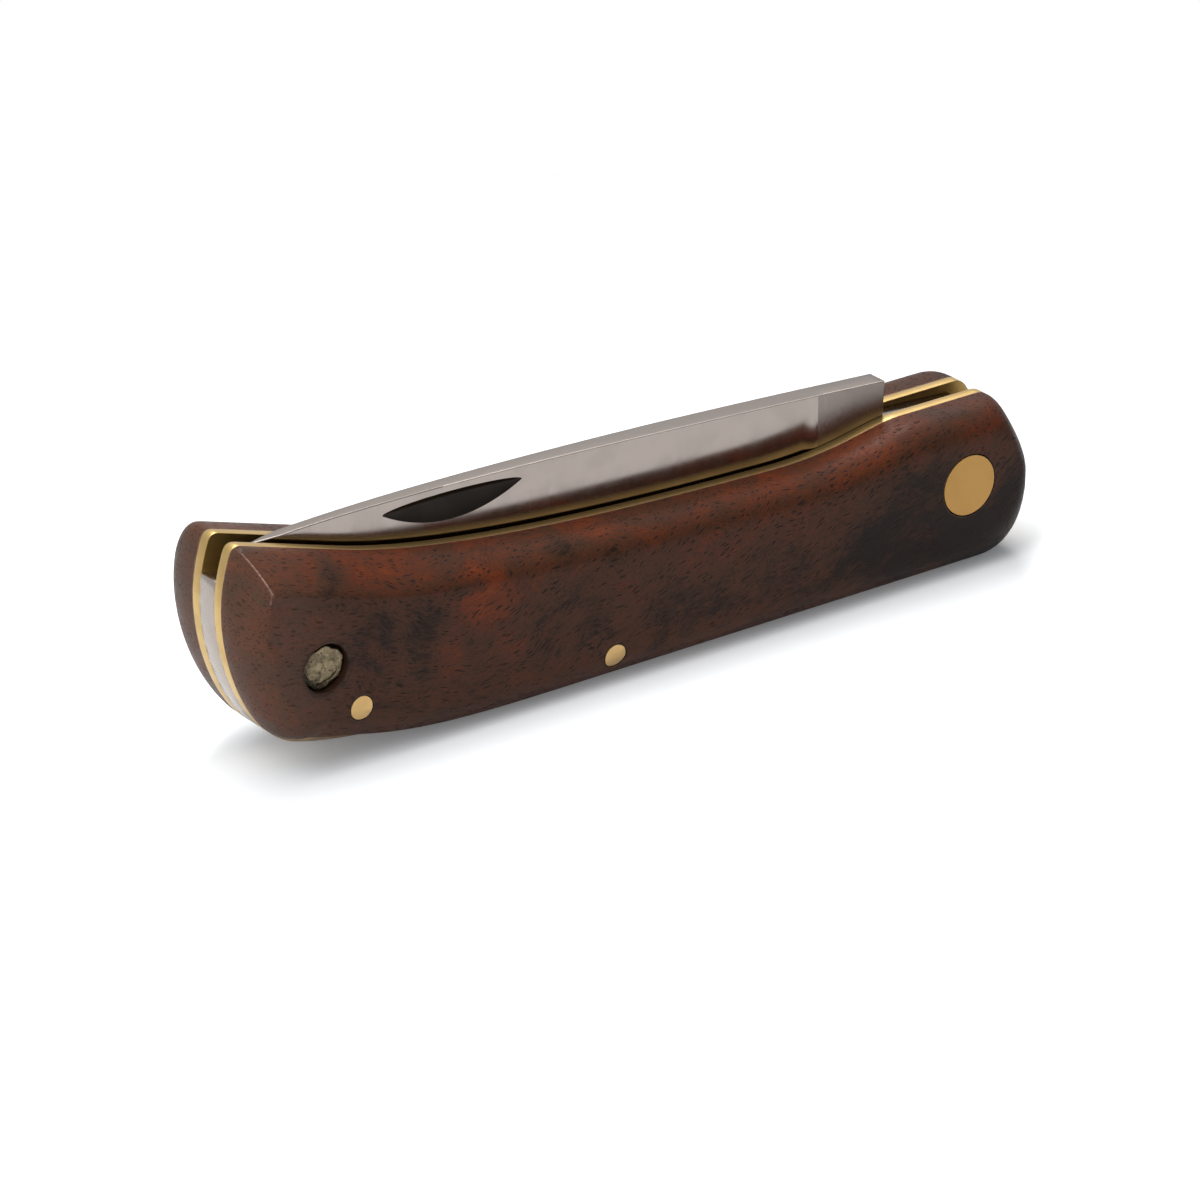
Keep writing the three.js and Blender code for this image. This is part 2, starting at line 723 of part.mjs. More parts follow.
const pocketKnife = new THREE.Group();
pocketKnife.add(handle, bladeGroup);

export default pocketKnife;
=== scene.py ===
# Folding pocket knife, closed and standing on its back: figured wooden scales on brass liners, brass pins,
# a satin blade with a long nail nick and a steel backspring.
# Shapes are worked out in millimetres and become metres when a piece is finished. X runs from the butt
# to the pivot end, Y away from the side with the nail nick, Z up to the open side of the handle.
import math

import bmesh
import bpy
from mathutils import Matrix, Vector, noise
from mathutils.geometry import interpolate_bezier, intersect_line_line_2d, intersect_point_line


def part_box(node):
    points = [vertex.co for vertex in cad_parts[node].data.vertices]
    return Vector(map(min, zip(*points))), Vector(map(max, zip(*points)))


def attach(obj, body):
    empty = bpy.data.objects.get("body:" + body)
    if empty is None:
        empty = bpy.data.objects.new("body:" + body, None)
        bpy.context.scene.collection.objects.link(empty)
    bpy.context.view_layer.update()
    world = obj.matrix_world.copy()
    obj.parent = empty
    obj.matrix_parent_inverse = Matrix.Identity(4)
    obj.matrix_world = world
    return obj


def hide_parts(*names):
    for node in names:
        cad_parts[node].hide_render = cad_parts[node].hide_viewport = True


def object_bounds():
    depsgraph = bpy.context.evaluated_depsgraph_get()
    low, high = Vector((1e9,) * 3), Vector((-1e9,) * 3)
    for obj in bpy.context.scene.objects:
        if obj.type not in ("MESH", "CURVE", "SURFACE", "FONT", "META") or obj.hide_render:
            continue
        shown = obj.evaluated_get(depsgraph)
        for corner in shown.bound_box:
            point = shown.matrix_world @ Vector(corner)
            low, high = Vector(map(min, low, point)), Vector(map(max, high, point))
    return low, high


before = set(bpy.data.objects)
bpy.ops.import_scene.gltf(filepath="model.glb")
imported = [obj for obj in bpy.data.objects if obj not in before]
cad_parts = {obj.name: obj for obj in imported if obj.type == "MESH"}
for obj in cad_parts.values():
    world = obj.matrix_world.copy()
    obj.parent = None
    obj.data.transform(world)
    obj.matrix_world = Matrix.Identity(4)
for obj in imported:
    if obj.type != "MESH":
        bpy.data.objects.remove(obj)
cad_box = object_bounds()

MM = 0.001


def middle_of(node):
    lo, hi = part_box(node)
    return (Vector(lo) + Vector(hi)) / 2 / MM


def outer_side(node):
    """How far a node reaches from the middle of the knife, across its thickness."""
    lo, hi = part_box(node)
    return max(-lo[1], hi[1]) / MM


# Places and thicknesses that the CAD parts give
BUTT_X = cad_box[0][0] / MM
NOSE_X = cad_box[1][0] / MM
SCALE_SIDE = outer_side("front_scale")
LINER_SIDE = outer_side("front_liner")
SPRING_SIDE = outer_side("backspring")
BLADE_SIDE = outer_side("blade")
PIVOT = middle_of("pivot_rivet")
BUTT_RIVET = middle_of("butt_rivet")


def from_butt(x, z):
    return Vector((BUTT_X + x, z))


def from_nose(x, z):
    return Vector((NOSE_X - x, z))


def from_pivot(x, z):
    return Vector((PIVOT.x + x, z))


# Handle outline, seen from the side. Each edge is a chain of curves, which run from their first place to
# their last and bend towards those between
NOSE_BOTTOM = from_nose(1.2, 0)
BACK_LIFT = from_butt(38, 0)
HEEL = from_butt(8.2, 2.15)
BULGE = from_butt(0, 17.8)
BUTT_CORNER = from_butt(1.45, 24.8)
HOOK = from_butt(14, 21)
HOOK_REACH = 10.4
AFTER_HOOK = HOOK + (HOOK - BUTT_CORNER).normalized() * HOOK_REACH
WAIST = from_pivot(-21.9, 15.7)
PIVOT_END_HEIGHT = 17.4
SHOULDER = from_pivot(-5.4, PIVOT_END_HEIGHT)
NOSE_TOP = from_nose(3.2, PIVOT_END_HEIGHT)
NOSE = from_nose(0, 9.3)
BACK_EDGE = (
    (NOSE_BOTTOM, BACK_LIFT),
    (BACK_LIFT, from_butt(26, 0), from_butt(14.7, 0.2), HEEL),
    (HEEL, from_butt(3.3, 3.62), from_butt(0, 11.2), BULGE),
    (BULGE, from_butt(0, 21.3), BUTT_CORNER),
)
TOP_EDGE = (
    (BUTT_CORNER, HOOK),
    (HOOK, AFTER_HOOK, from_pivot(-47.9, 16.376), WAIST),
    (WAIST, from_pivot(-12.9, 15.466), from_pivot(-9.4, PIVOT_END_HEIGHT), SHOULDER),
    (SHOULDER, NOSE_TOP),
)
NOSE_EDGE = (
    (NOSE_TOP, from_nose(0, 12.6), NOSE),
    (NOSE, from_nose(0, 4.8), NOSE_BOTTOM),
)

# Softened corners in the brass and in the faces of the front and rear scales, in the order of the edges,
# and how soon they change from one to the other
CORNERS_IN_BRASS = (1.0, 1.1, 3.0)
CORNERS_IN_FACE = {-1: (0.12, 3.2, 6.0), 1: (4.2, 3.2, 6.0)}
CORNER_FULLNESS = {-1: (0.5, 2.0, 1.0), 1: (2.0, 2.0, 1.0)}

# Rounding of the scales
TOP_ROUNDING = 3.4
BUTT_ROUNDING = {-1: 2.4, 1: 1.4}
BUTT_FULLNESS = {-1: 1.6, 1: 2.0}
NOSE_ROUNDING = 2.2
BACK_ROUNDING = 4.0
ROUNDING_DEPTH = 4.4
TOP_FULLNESS = 2.8
SIDE_FULLNESS = 2.0

# Towards the butt the top and the end of the front scale are planed rather than rounded
HOOK_ROUNDING = 3.2
HOOK_FULLNESS = 1.2
HOOK_TURN = 0.29
BUTT_TOP_ROUNDING = 2.2
BUTT_TOP_FULLNESS = 1.0
BUTT_TOP_TURN = 0.2

# The crease between them carries a thin pale line, partly wear and partly painted highlight, which is
# fainter where it starts on the face
WORN_HIGHLIGHT_LINE = "worn_highlight_line"
WORN_HIGHLIGHT_WIDTH = 0.12
WORN_HIGHLIGHT_START = 0.35

# Where the wood is eased back from the metal round the heel, by how far the outline has turned
HEEL_EASE = 1.0
HEEL_EASE_FULL = math.radians(10)
HEEL_EASE_FADE = math.radians(20)
HEEL_EASE_END = math.radians(48)

# Pins and rivets
SMALL_PIN_RADIUS = 1.25
SMALL_PINS = [(middle_of(node), SMALL_PIN_RADIUS) for node in ("centre_pin", "rear_pin")]
PIVOT_HEAD_RADIUS = 3.3
PIVOT_SHANK_RADIUS = 2.0
BUTT_SHANK_RADIUS = 1.5
BUTT_HEAD_RADIUS = 2.4
BUTT_HEAD_HEIGHT = 0.8
BUTT_HEAD_DEPTH = 0.7
RECESS_RADIUS = 2.55
RECESS_CHAMFER = 0.16
PIN_CLEARANCE = 0.04
WOOD_GAP = 0.1
METAL_CORNER = 0.06

# The hammered head of the butt rivet. Where something lies on it is a share of its radius, its dents are
# noise of two scales and heights, and a pair for the split or the painted shade is where it starts and how
# far it takes to be full
HEAD_EDGE = 0.14
HEAD_EDGE_STEPS = 6
HEAD_RINGS = 26
HEAD_SIDES = 160
HEAD_TILT = 0.1
HEAD_SINK = 0.05
HEAD_HIGHEST = 0.02
HEAD_UNDERCUT = 0.1
HEAD_WAVE_SCALE = 1.8
HEAD_WAVES = 0.16
HEAD_PULLED_IN = 0.05
HEAD_TOP_PULLED_IN = 0.14
HEAD_DENTS = ((0.9, 0.14), (2.6, 0.09))
SPLIT_DIRECTION = Vector((0.3, 0, -0.95))
SPLIT_SPREAD = (0.62, 0.2)
SPLIT_PLACE = 0.76
SPLIT_HALF_WIDTH = 0.08
SPLIT_DEPTH = 0.22
# Painted shade: the head is darkened round its lower left, at its rim and in its split, where shade falls
SHADE_DIRECTION = Vector((-0.7, 0, -0.7))
SHADE_SPREAD = (0.3, 0.5)
SHADE_REACH = (0.72, 0.12)
SHADED_RIM = (0.93, 0.05)
RIVET_SHADE = "dirt_and_shade"

# Blade
TIP = from_butt(4.8, 23.15)
TIP_HALF_THICKNESS = 0.6
TIP_BLUNTNESS = 0.15
TIP_WEDGE = 0.11
SPINE_TIP_REACH = Vector((13.2, 1.2))
SPINE_SHOULDER_REACH = Vector((-36.4, 2.4))
SPINE_SHOULDER_HEIGHT = 21.1
SPINE_CORNER = 0.11
TAPER_LENGTH = 50
EDGE_HALF_THICKNESS = 0.08
EDGE_HEIGHT = 7
EDGE_BEVEL = 0.5
GRIND_FULLNESS = 1.6
APEX_HALF_THICKNESS = 0.02
BELLY_START = 36
BELLY_REACH = 16
BELLY_TIP_REACH = Vector((4.7, -8.9))
PLUNGE_FROM_PIVOT = 14.9
PLUNGE_WIDTH = 1.8
OPEN_ANGLE = math.radians(177)
TANG_SEAT_RADIUS = 6.6
TANG_SEAT_END = 3.5
TANG_SHOULDER = 6.85
KICK_FROM_PIVOT = 7.6
KICK_RADIUS = 0.9
RICASSO_RISE = 2.8
# Where the worn edges of the back, brightened as a painted highlight, start from the tip
HIGHLIT_EDGE_FROM_TIP = 22

# Nail nick
NICK_FROM_BUTT = 28.1
NICK_BELOW_SPINE = 0.68
NICK_LENGTH = 16.4
NICK_HEIGHT = 3.05
NICK_RIM_DROP = 0.78
NICK_WHEEL_RADIUS = 65
NICK_WHEEL_SIDES = 700

# Fineness
CURVE_POINTS = 120
KICK_EVERY = 12
CAM_STEPS = 64
EDGE_STEPS = (150, 120, 44)
CORNER_STEPS = 10
BEND_WEIGHT = 14
ROUNDING_STEPS = 14
HOLE_SIDES = 96
BLADE_STATIONS = 150
CROWDED_TO_TIP = 1.7
PLUNGE_STATIONS = 20
PLUNGE_RUN_UP = 1.4 * PLUNGE_WIDTH
FACE_ROWS = 14
CORNER_ROWS = 12
FACE_BAND = 0.35
FACE_CROWN = 0.004
RIM_STEPS = 24
CUT_MARGIN = 5
CORNER_REACH = 1
CREASE_STEPS = 24
CREASE_REACH = 8
MERGE = 1e-4
JOINED_BELOW = math.radians(0.3)
SOFTENED_ABOVE = math.radians(35)
SHARP_ABOVE = 30
FLAT_ACROSS = 0.99999

# How squarely a face looks across or up when it belongs to a plate, the full stock, the blade's back or
# the edge of that, which is worn and brightened as a painted highlight
PLATE_FACE = 0.9
STOCK_FACE = 0.9999
BACK_FACE = 0.95
HIGHLIT_EDGE_FACE = 0.25


# Outline of the handle

def curve(*knots):
    """Points along a line or along a quadratic or cubic curve, by how many points define it."""
    start, end = knots[0], knots[-1]
    if len(knots) == 2:
        knots = (start, start.lerp(end, 1 / 3), start.lerp(end, 2 / 3), end)
    if len(knots) == 3:
        knots = (start, start.lerp(knots[1], 2 / 3), end.lerp(knots[1], 2 / 3), end)
    return interpolate_bezier(*knots, CURVE_POINTS)


def edge_run(curves):
    """An edge of the outline, drawn a little past both of its ends, so that neighbouring edges cross."""
    points = curve(*curves[0])
    for knots in curves[1:]:
        points += curve(*knots)[1:]
    first = points[0] + (points[0] - points[1]).normalized() * CORNER_REACH
    last = points[-1] + (points[-1] - points[-2]).normalized() * CORNER_REACH
    return [first, *points, last]


def inset(points, distance_for):
    """Points moved inwards, to the right of their run, by a distance that depends on the direction."""
    moved = []
    for i, here in enumerate(points):
        along = (points[min(i + 1, len(points) - 1)] - points[max(i - 1, 0)]).normalized()
        inward = Vector((along.y, -along.x))
        moved.append(here + inward * distance_for(inward))
    return moved


def crossing(first, second):
    """Where one run meets the next: its last point before, the next one's first point after, the place."""
    for i in range(len(first) - 1, 0, -1):
        for j in range(1, len(second)):
            place = intersect_line_line_2d(first[i - 1], first[i], second[j - 1], second[j])
            if place:
                return i - 1, j, place
    raise ValueError("two edges of the outline don't meet")


def trimmed(points, corner, cut):
    """A run without its first stretch, which a softened corner takes."""
    kept = [point for point in points if (point - corner).length > cut + MERGE]
    return [corner.lerp(kept[0], cut / (kept[0] - corner).length), *kept]


def spread(points, steps):
    """Points spaced out along a run, closer together where it bends."""
    reached = [0.0]
    for i in range(1, len(points)):
        along = points[i] - points[i - 1]
        before = points[i - 1] - points[i - 2] if i > 1 else along
        reached.append(reached[-1] + along.length + BEND_WEIGHT * abs(before.angle(along)))
    spaced = []
    following = 1
    for step in range(steps + 1):
        wanted = reached[-1] * step / steps
        while following < len(points) - 1 and reached[following] < wanted:
            following += 1
        share = (wanted - reached[following - 1]) / (reached[following] - reached[following - 1])
        spaced.append(points[following - 1].lerp(points[following], share))
    return spaced


def come_in(depth_share, fullness):
    """How far a rounded edge has come in at a share of its depth. A fuller one stays out for longer."""
    return 1 - (1 - depth_share ** fullness) ** (1 / fullness)


def smooth_step(value):
    value = min(max(value, 0), 1)
    return value * value * (3 - 2 * value)


def ramp(value, start, width):
    return smooth_step((value - start) / width)


def ease_at(inward):
    """How far the wood stands back from the metal round the heel."""
    turn = math.atan2(inward.x, inward.y)
    fading = ramp(turn, HEEL_EASE_FADE, HEEL_EASE_END - HEEL_EASE_FADE)
    return HEEL_EASE * smooth_step(turn / HEEL_EASE_FULL) * (1 - fading)


EDGES = [edge_run(curves) for curves in (BACK_EDGE, TOP_EDGE, NOSE_EDGE)]


def softened_outline(distance_for, cuts):
    """The outline moved in by a distance that depends on the direction, with its corners softened."""
    runs = [inset(edge, distance_for) for edge in EDGES]
    corners = [crossing(run, runs[(i + 1) % 3]) for i, run in enumerate(runs)]
    between = []
    for i, run in enumerate(runs):
        whole = run[corners[i - 1][1]:corners[i][0] + 1]
        from_start = trimmed(whole, corners[i - 1][2], cuts[i - 1])
        from_end = trimmed(from_start[::-1], corners[i][2], cuts[i])
        between.append(spread(from_end[::-1], EDGE_STEPS[i]))
    ring = []
    for i, run in enumerate(between):
        start, corner, end = run[-1], corners[i][2], between[(i + 1) % 3][0]
        arc = [start.lerp(corner, s).lerp(corner.lerp(end, s), s) for s in steps_of(CORNER_STEPS)]
        ring += run[:-1] + arc[:-1]
    return ring


def steps_of(count):
    return [i / count for i in range(count + 1)]


def quarter_turn(count):
    return [math.pi / 2 * share for share in steps_of(count)]


def wood_outline(depth_share, side, further=0):
    """The outline of a scale at a share of its rounding's depth, or a little further in."""
    soft = come_in(depth_share, SIDE_FULLNESS)
    top = TOP_ROUNDING * come_in(depth_share, TOP_FULLNESS)
    butt = BUTT_ROUNDING[side] * come_in(depth_share, BUTT_FULLNESS[side])
    planed_top = HOOK_ROUNDING * come_in(depth_share, HOOK_FULLNESS) if side < 0 else top
    planed_butt = BUTT_TOP_ROUNDING * come_in(depth_share, BUTT_TOP_FULLNESS) if side < 0 else butt

    def distance_for(inward):
        to_hook = smooth_step(-inward.x / HOOK_TURN)
        to_butt_top = smooth_step(-inward.y / BUTT_TOP_TURN)
        upright = BACK_ROUNDING * soft if inward.y > 0 else top + (planed_top - top) * to_hook
        lengthways = butt + (planed_butt - butt) * to_butt_top if inward.x > 0 else NOSE_ROUNDING * soft
        return upright * inward.y ** 2 + lengthways * inward.x ** 2 + ease_at(inward) + further

    corners = zip(CORNERS_IN_BRASS, CORNERS_IN_FACE[side], CORNER_FULLNESS[side])
    cuts = [brass + (face - brass) * come_in(depth_share, fullness) for brass, face, fullness in corners]
    return softened_outline(distance_for, cuts)


def in_scene(name, data):
    """A new object for a mesh, a lamp or a camera."""
    thing = bpy.data.objects.new(name, data)
    bpy.context.scene.collection.objects.link(thing)
    return thing


# Solids in millimetres

def ring_of(bm, points, y):
    """A closed loop of edges in a plane across the thickness."""
    verts = [bm.verts.new((point.x, y, point.y)) for point in points]
    return [bm.edges.new((verts[i - 1], verts[i])) for i in range(len(verts))]


def lofted(rings):
    """A closed skin over outlines at their places through the thickness."""
    bm = bmesh.new()
    loops = [ring_of(bm, points, y) for points, y in rings]
    for near, far in zip(loops, loops[1:]):
        bmesh.ops.bridge_loops(bm, edges=near + far)
    for end in (loops[0], loops[-1]):
        bmesh.ops.edgeloop_fill(bm, edges=end)
    bmesh.ops.recalc_face_normals(bm, faces=bm.faces)
    return bm


def plate(points, from_y, to_y):
    return lofted([(points, from_y), (points, to_y)])


def turned(profile, centre, sides=HOLE_SIDES):
    """A solid of revolution about an axis through the thickness, from points (radius, place across)."""
    bm = bmesh.new()
    verts = [bm.verts.new((centre.x + radius, y, centre.z)) for radius, y in profile]
    edges = [bm.edges.new(pair) for pair in zip(verts, verts[1:])]
    bmesh.ops.spin(
        bm, geom=verts + edges, cent=(centre.x, 0, centre.z), axis=(0, 1, 0),
        angle=2 * math.pi, steps=sides, use_merge=True,
    )
    bmesh.ops.remove_doubles(bm, verts=bm.verts, dist=MERGE)
    bmesh.ops.recalc_face_normals(bm, faces=bm.faces)
    return bm


def hole_for(centre, pin_radius, clearance=PIN_CLEARANCE):
    """A rod through the whole thickness, to cut with."""
    radius, reach = pin_radius + clearance, SCALE_SIDE + CUT_MARGIN
    return turned([(0, -reach), (radius, -reach), (radius, reach), (0, reach)], centre)


def boolean(body, tool, operation="DIFFERENCE", materials=()):
    """Cut a mesh by another, or join the two. The tool's faces keep their material."""
    holders = []
    for bm in (body, tool):
        mesh = bpy.data.meshes.new("in_work")
        for material in materials:
            mesh.materials.append(material)
        bm.to_mesh(mesh)
        bm.free()
        holders.append(in_scene("in_work", mesh))
    cut = holders[0].modifiers.new("cut", "BOOLEAN")
    cut.operation = operation
    cut.solver = "EXACT"
    cut.object = holders[1]
    result = bmesh.new()
    result.from_object(holders[0], bpy.context.evaluated_depsgraph_get())
    for holder in holders:
        mesh = holder.data
        bpy.data.objects.remove(holder)
        bpy.data.meshes.remove(mesh)
    bmesh.ops.remove_doubles(result, verts=result.verts, dist=MERGE)
    return result


def with_holes(body, pivot_radius, clearance):
    """A scale or a liner with the holes that the rivets and the pins go through."""
    for centre, radius in ((PIVOT, pivot_radius), *SMALL_PINS, (BUTT_RIVET, BUTT_SHANK_RADIUS)):
        body = boolean(body, hole_for(centre, radius, clearance))
    return body


def merged_copy(node):
    """A node's solid in millimetres, with its loose triangles joined and its flat faces whole."""
    bm = bmesh.new()
    bm.from_mesh(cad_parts[node].data)
    bmesh.ops.scale(bm, vec=Vector((1, 1, 1)) / MM, verts=bm.verts)
    bmesh.ops.remove_doubles(bm, verts=bm.verts, dist=MERGE)
    bmesh.ops.dissolve_limit(bm, angle_limit=JOINED_BELOW, verts=bm.verts, edges=bm.edges, delimit=set())
    return bm


def soften(bm, width):
    """Round off the sharp edges."""
    sharp = [edge for edge in bm.edges if edge.calc_face_angle(0) > SOFTENED_ABOVE]
    bmesh.ops.bevel(
        bm, geom=sharp, offset=width, offset_type="OFFSET", segments=2, profile=0.5,
        affect="EDGES", clamp_overlap=True, material=-1,
    )
    return bm


def finish_piece(bm, name, finishes, body, replaced, sharp_angle=SHARP_ABOVE, cut_finish=None):
    """Turn a solid in millimetres into a piece of the knife that rides on one of its bodies.

    The edge of a cut that has a finish of its own stays sharp, however shallow it is.
    """
    bmesh.ops.scale(bm, vec=Vector((MM, MM, MM)), verts=bm.verts)
    for face in bm.faces:
        face.smooth = abs(face.normal.y) < FLAT_ACROSS
    for edge in bm.edges:
        cut_faces = [face.material_index == cut_finish for face in edge.link_faces]
        folded = edge.calc_face_angle(0) > math.radians(sharp_angle)
        edge.smooth = not folded and all(cut_faces) == any(cut_faces)
    mesh = bpy.data.meshes.new(name)
    bm.to_mesh(mesh)
    bm.free()
    for finish in finishes:
        mesh.materials.append(finish)
    piece = in_scene(name, mesh)
    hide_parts(replaced)
    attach(piece, body)
    return piece


# Node trees

def add(tree, kind, inputs=None, **settings):
    """Add a node, set its options, and give its inputs their values or links."""
    node = tree.nodes.new("ShaderNode" + kind)
    for name, value in settings.items():
        setattr(node, name, value)
    for name, value in (inputs or {}).items():
        socket = node.inputs[name]
        if isinstance(value, bpy.types.NodeSocket):
            tree.links.new(value, socket)
        else:
            socket.default_value = value
    return node


def drive(tree, node, **links):
    for label, socket in links.items():
        tree.links.new(socket, node.inputs[label.replace("_", " ")])


def maths(tree, operation, first, second=0.0, clamp=False):
    return add(tree, "Math", {0: first, 1: second}, operation=operation, use_clamp=clamp).outputs[0]


def times(tree, first, second):
    return maths(tree, "MULTIPLY", first, second)


def plus(tree, first, second, clamp=False):
    return maths(tree, "ADD", first, second, clamp)


def minus(tree, first, second):
    return maths(tree, "SUBTRACT", first, second)


def larger(tree, first, second):
    return maths(tree, "MAXIMUM", first, second)


def vector_maths(tree, operation, first, second=(0, 0, 0)):
    return add(tree, "VectorMath", {0: first, 1: second}, operation=operation).outputs[0]


def fade(tree, value, start, end, low=0.0, high=1.0):
    """A value that goes smoothly from low at start to high at end."""
    inputs = {"Value": value, "From Min": start, "From Max": end, "To Min": low, "To Max": high}
    return add(tree, "MapRange", inputs, interpolation_type="SMOOTHSTEP").outputs[0]


def tint(tree, share, first, second):
    """Two colours mixed by a share."""
    inputs = {0: share}
    for index, colour in ((6, first), (7, second)):
        inputs[index] = colour if isinstance(colour, bpy.types.NodeSocket) else (*colour, 1)
    return add(tree, "Mix", inputs, data_type="RGBA").outputs[2]


def cloud(tree, place, scale=1.0, detail=3, roughness=0.5, distortion=0.0, output="Fac"):
    """Noise about its middle value of a half, with its scale per millimetre."""
    inputs = {"Vector": place, "Scale": scale, "Detail": detail, "Roughness": roughness}
    return add(tree, "TexNoise", {**inputs, "Distortion": distortion}).outputs[output]


def millimetres(tree):
    """Where a point of the knife is, in millimetres."""
    place = add(tree, "TexCoord").outputs["Object"]
    return add(tree, "VectorMath", {0: place, "Scale": 1 / MM}, operation="SCALE").outputs[0]


def stretched(tree, place, scale):
    return vector_maths(tree, "MULTIPLY", place, scale)


def x_of(tree, place):
    return add(tree, "SeparateXYZ", {0: place}).outputs[0]


def length_of(tree, vector):
    return add(tree, "VectorMath", {0: vector}, operation="LENGTH").outputs["Value"]


def new_group(name, outputs=("Mask",), **inputs):
    """An effect that several finishes share. It is given the place, other vectors and numbers."""
    tree = bpy.data.node_groups.new(name, "ShaderNodeTree")
    for label, value in {"Place": (0, 0, 0), **inputs}.items():
        kind = "NodeSocketVector" if isinstance(value, tuple) else "NodeSocketFloat"
        tree.interface.new_socket(label, in_out="INPUT", socket_type=kind).default_value = value
    for label in outputs:
        tree.interface.new_socket(label, in_out="OUTPUT", socket_type="NodeSocketFloat")
    return tree, tree.nodes.new("NodeGroupInput").outputs, tree.nodes.new("NodeGroupOutput")


def effect(tree, group, **inputs):
    """Place a shared effect in a finish with its own values."""
    return add(tree, "Group", inputs, node_tree=group).outputs


def edge_wear_group():
    """A mask of the outer edges, broken up as handling wears them."""
    tree, given, result = new_group("edge_wear", Radius=0.0002, Breakup=0.5)
    rounded = add(tree, "Bevel", {"Radius": given["Radius"]}, samples=4).outputs["Normal"]
    normal = add(tree, "NewGeometry").outputs["Normal"]
    likeness = add(tree, "VectorMath", {0: rounded, 1: normal}, operation="DOT_PRODUCT").outputs["Value"]
    edge = fade(tree, likeness, 0.995, 0.9)
    patches = cloud(tree, given["Place"], 1.3, detail=4)
    broken = times(tree, fade(tree, patches, 0.62, 0.4), given["Breakup"])
    drive(tree, result, Mask=times(tree, edge, minus(tree, 1.0, broken)))
    return tree


def fine_lines_group():
    """Fine parallel lines, as grinding or sanding leaves them. They run along the long stretch."""
    tree, given, result = new_group("fine_lines", ("Height", "Scratches"), Stretch=(1, 1, 1))
    place = stretched(tree, given["Place"], given["Stretch"])
    lines = cloud(tree, place, roughness=0.6)
    elsewhere = vector_maths(tree, "ADD", stretched(tree, place, (0.4, 0.4, 0.4)), (31, 17, 5))
    deep = cloud(tree, elsewhere, detail=2)
    drive(tree, result, Height=lines, Scratches=fade(tree, deep, 0.66, 0.74))
    return tree


def pores_group():
    """Short dark pores that lie along the grain. Place has the grain along X."""
    tree, given, result = new_group("pores", Length=1.0, Width=0.2, Spacing=1.0, Share=0.5)
    squeeze = maths(tree, "DIVIDE", given["Width"], given["Length"])
    across = maths(tree, "DIVIDE", 1.0, given["Spacing"])
    along = times(tree, across, squeeze)
    scale = add(tree, "CombineXYZ", {0: along, 1: across, 2: across}).outputs[0]
    place = stretched(tree, given["Place"], scale)
    cells = add(tree, "TexVoronoi", {"Vector": place, "Scale": 1.0, "Randomness": 1.0}).outputs
    radius = maths(tree, "DIVIDE", given["Width"], given["Spacing"])
    inside = fade(tree, maths(tree, "DIVIDE", cells["Distance"], radius), 0.55, 0.28)
    chance = add(tree, "SeparateColor", {"Color": cells["Color"]}).outputs[0]
    kept = maths(tree, "LESS_THAN", chance, given["Share"])
    drive(tree, result, Mask=times(tree, inside, kept))
    return tree


def zone_group():
    """A soft-edged patch about a centre."""
    tree, given, result = new_group("zone", Centre=(0, 0, 0), Reach=(1, 1, 1))
    offset = vector_maths(tree, "SUBTRACT", given["Place"], given["Centre"])
    distance = length_of(tree, vector_maths(tree, "DIVIDE", offset, given["Reach"]))
    drive(tree, result, Mask=fade(tree, distance, 1.25, 0.35))
    return tree


def ring_group():
    """A ring round a hole through the thickness, from its radius outwards."""
    tree, given, result = new_group("ring", Centre=(0, 0, 0), Radius=1.0, Width=0.3)
    offset = vector_maths(tree, "SUBTRACT", given["Place"], given["Centre"])
    distance = length_of(tree, stretched(tree, offset, (1, 0, 1)))
    beyond = minus(tree, distance, given["Radius"])
    drive(tree, result, Mask=fade(tree, maths(tree, "DIVIDE", beyond, given["Width"]), 1.0, 0.2))
    return tree


EDGE_WEAR = edge_wear_group()
FINE_LINES = fine_lines_group()
PORES = pores_group()
ZONE = zone_group()
RING = ring_group()


# Finishes

def new_finish(name, **shader_values):
    material = bpy.data.materials.new(name)
    material.use_nodes = True
    tree = material.node_tree
    tree.nodes.clear()
    inputs = {label.replace("_", " "): value for label, value in shader_values.items()}
    shader = add(tree, "BsdfPrincipled", inputs)
    add(tree, "OutputMaterial", {"Surface": shader.outputs[0]})
    return material, tree, shader


def relief(tree, height, depth):
    """A surface normal from a height between 0 and 1, with its depth in millimetres."""
    return add(tree, "Bump", {"Height": height, "Distance": depth * MM, "Strength": 1.0}).outputs["Normal"]


WOOD_BLACK = (0.012, 0.0065, 0.0045)
# Pale wood for worn edges and for the painted highlight on the crease at the butt
WORN_HIGHLIT_WOOD = (0.36, 0.22, 0.17)
# Paler, greyer wood for the painted sheen on the butt end
PALE_SHEEN_WOOD = (0.10, 0.07, 0.05)

# Brown, red and orange wood: the tones from which each comes in, and at which it is full
WOOD_TONES = (
    (0.22, 0.5, (0.055, 0.0205, 0.0105)),
    (0.48, 0.72, (0.100, 0.0225, 0.0080)),
    (0.68, 0.92, (0.195, 0.0390, 0.0080)),
)

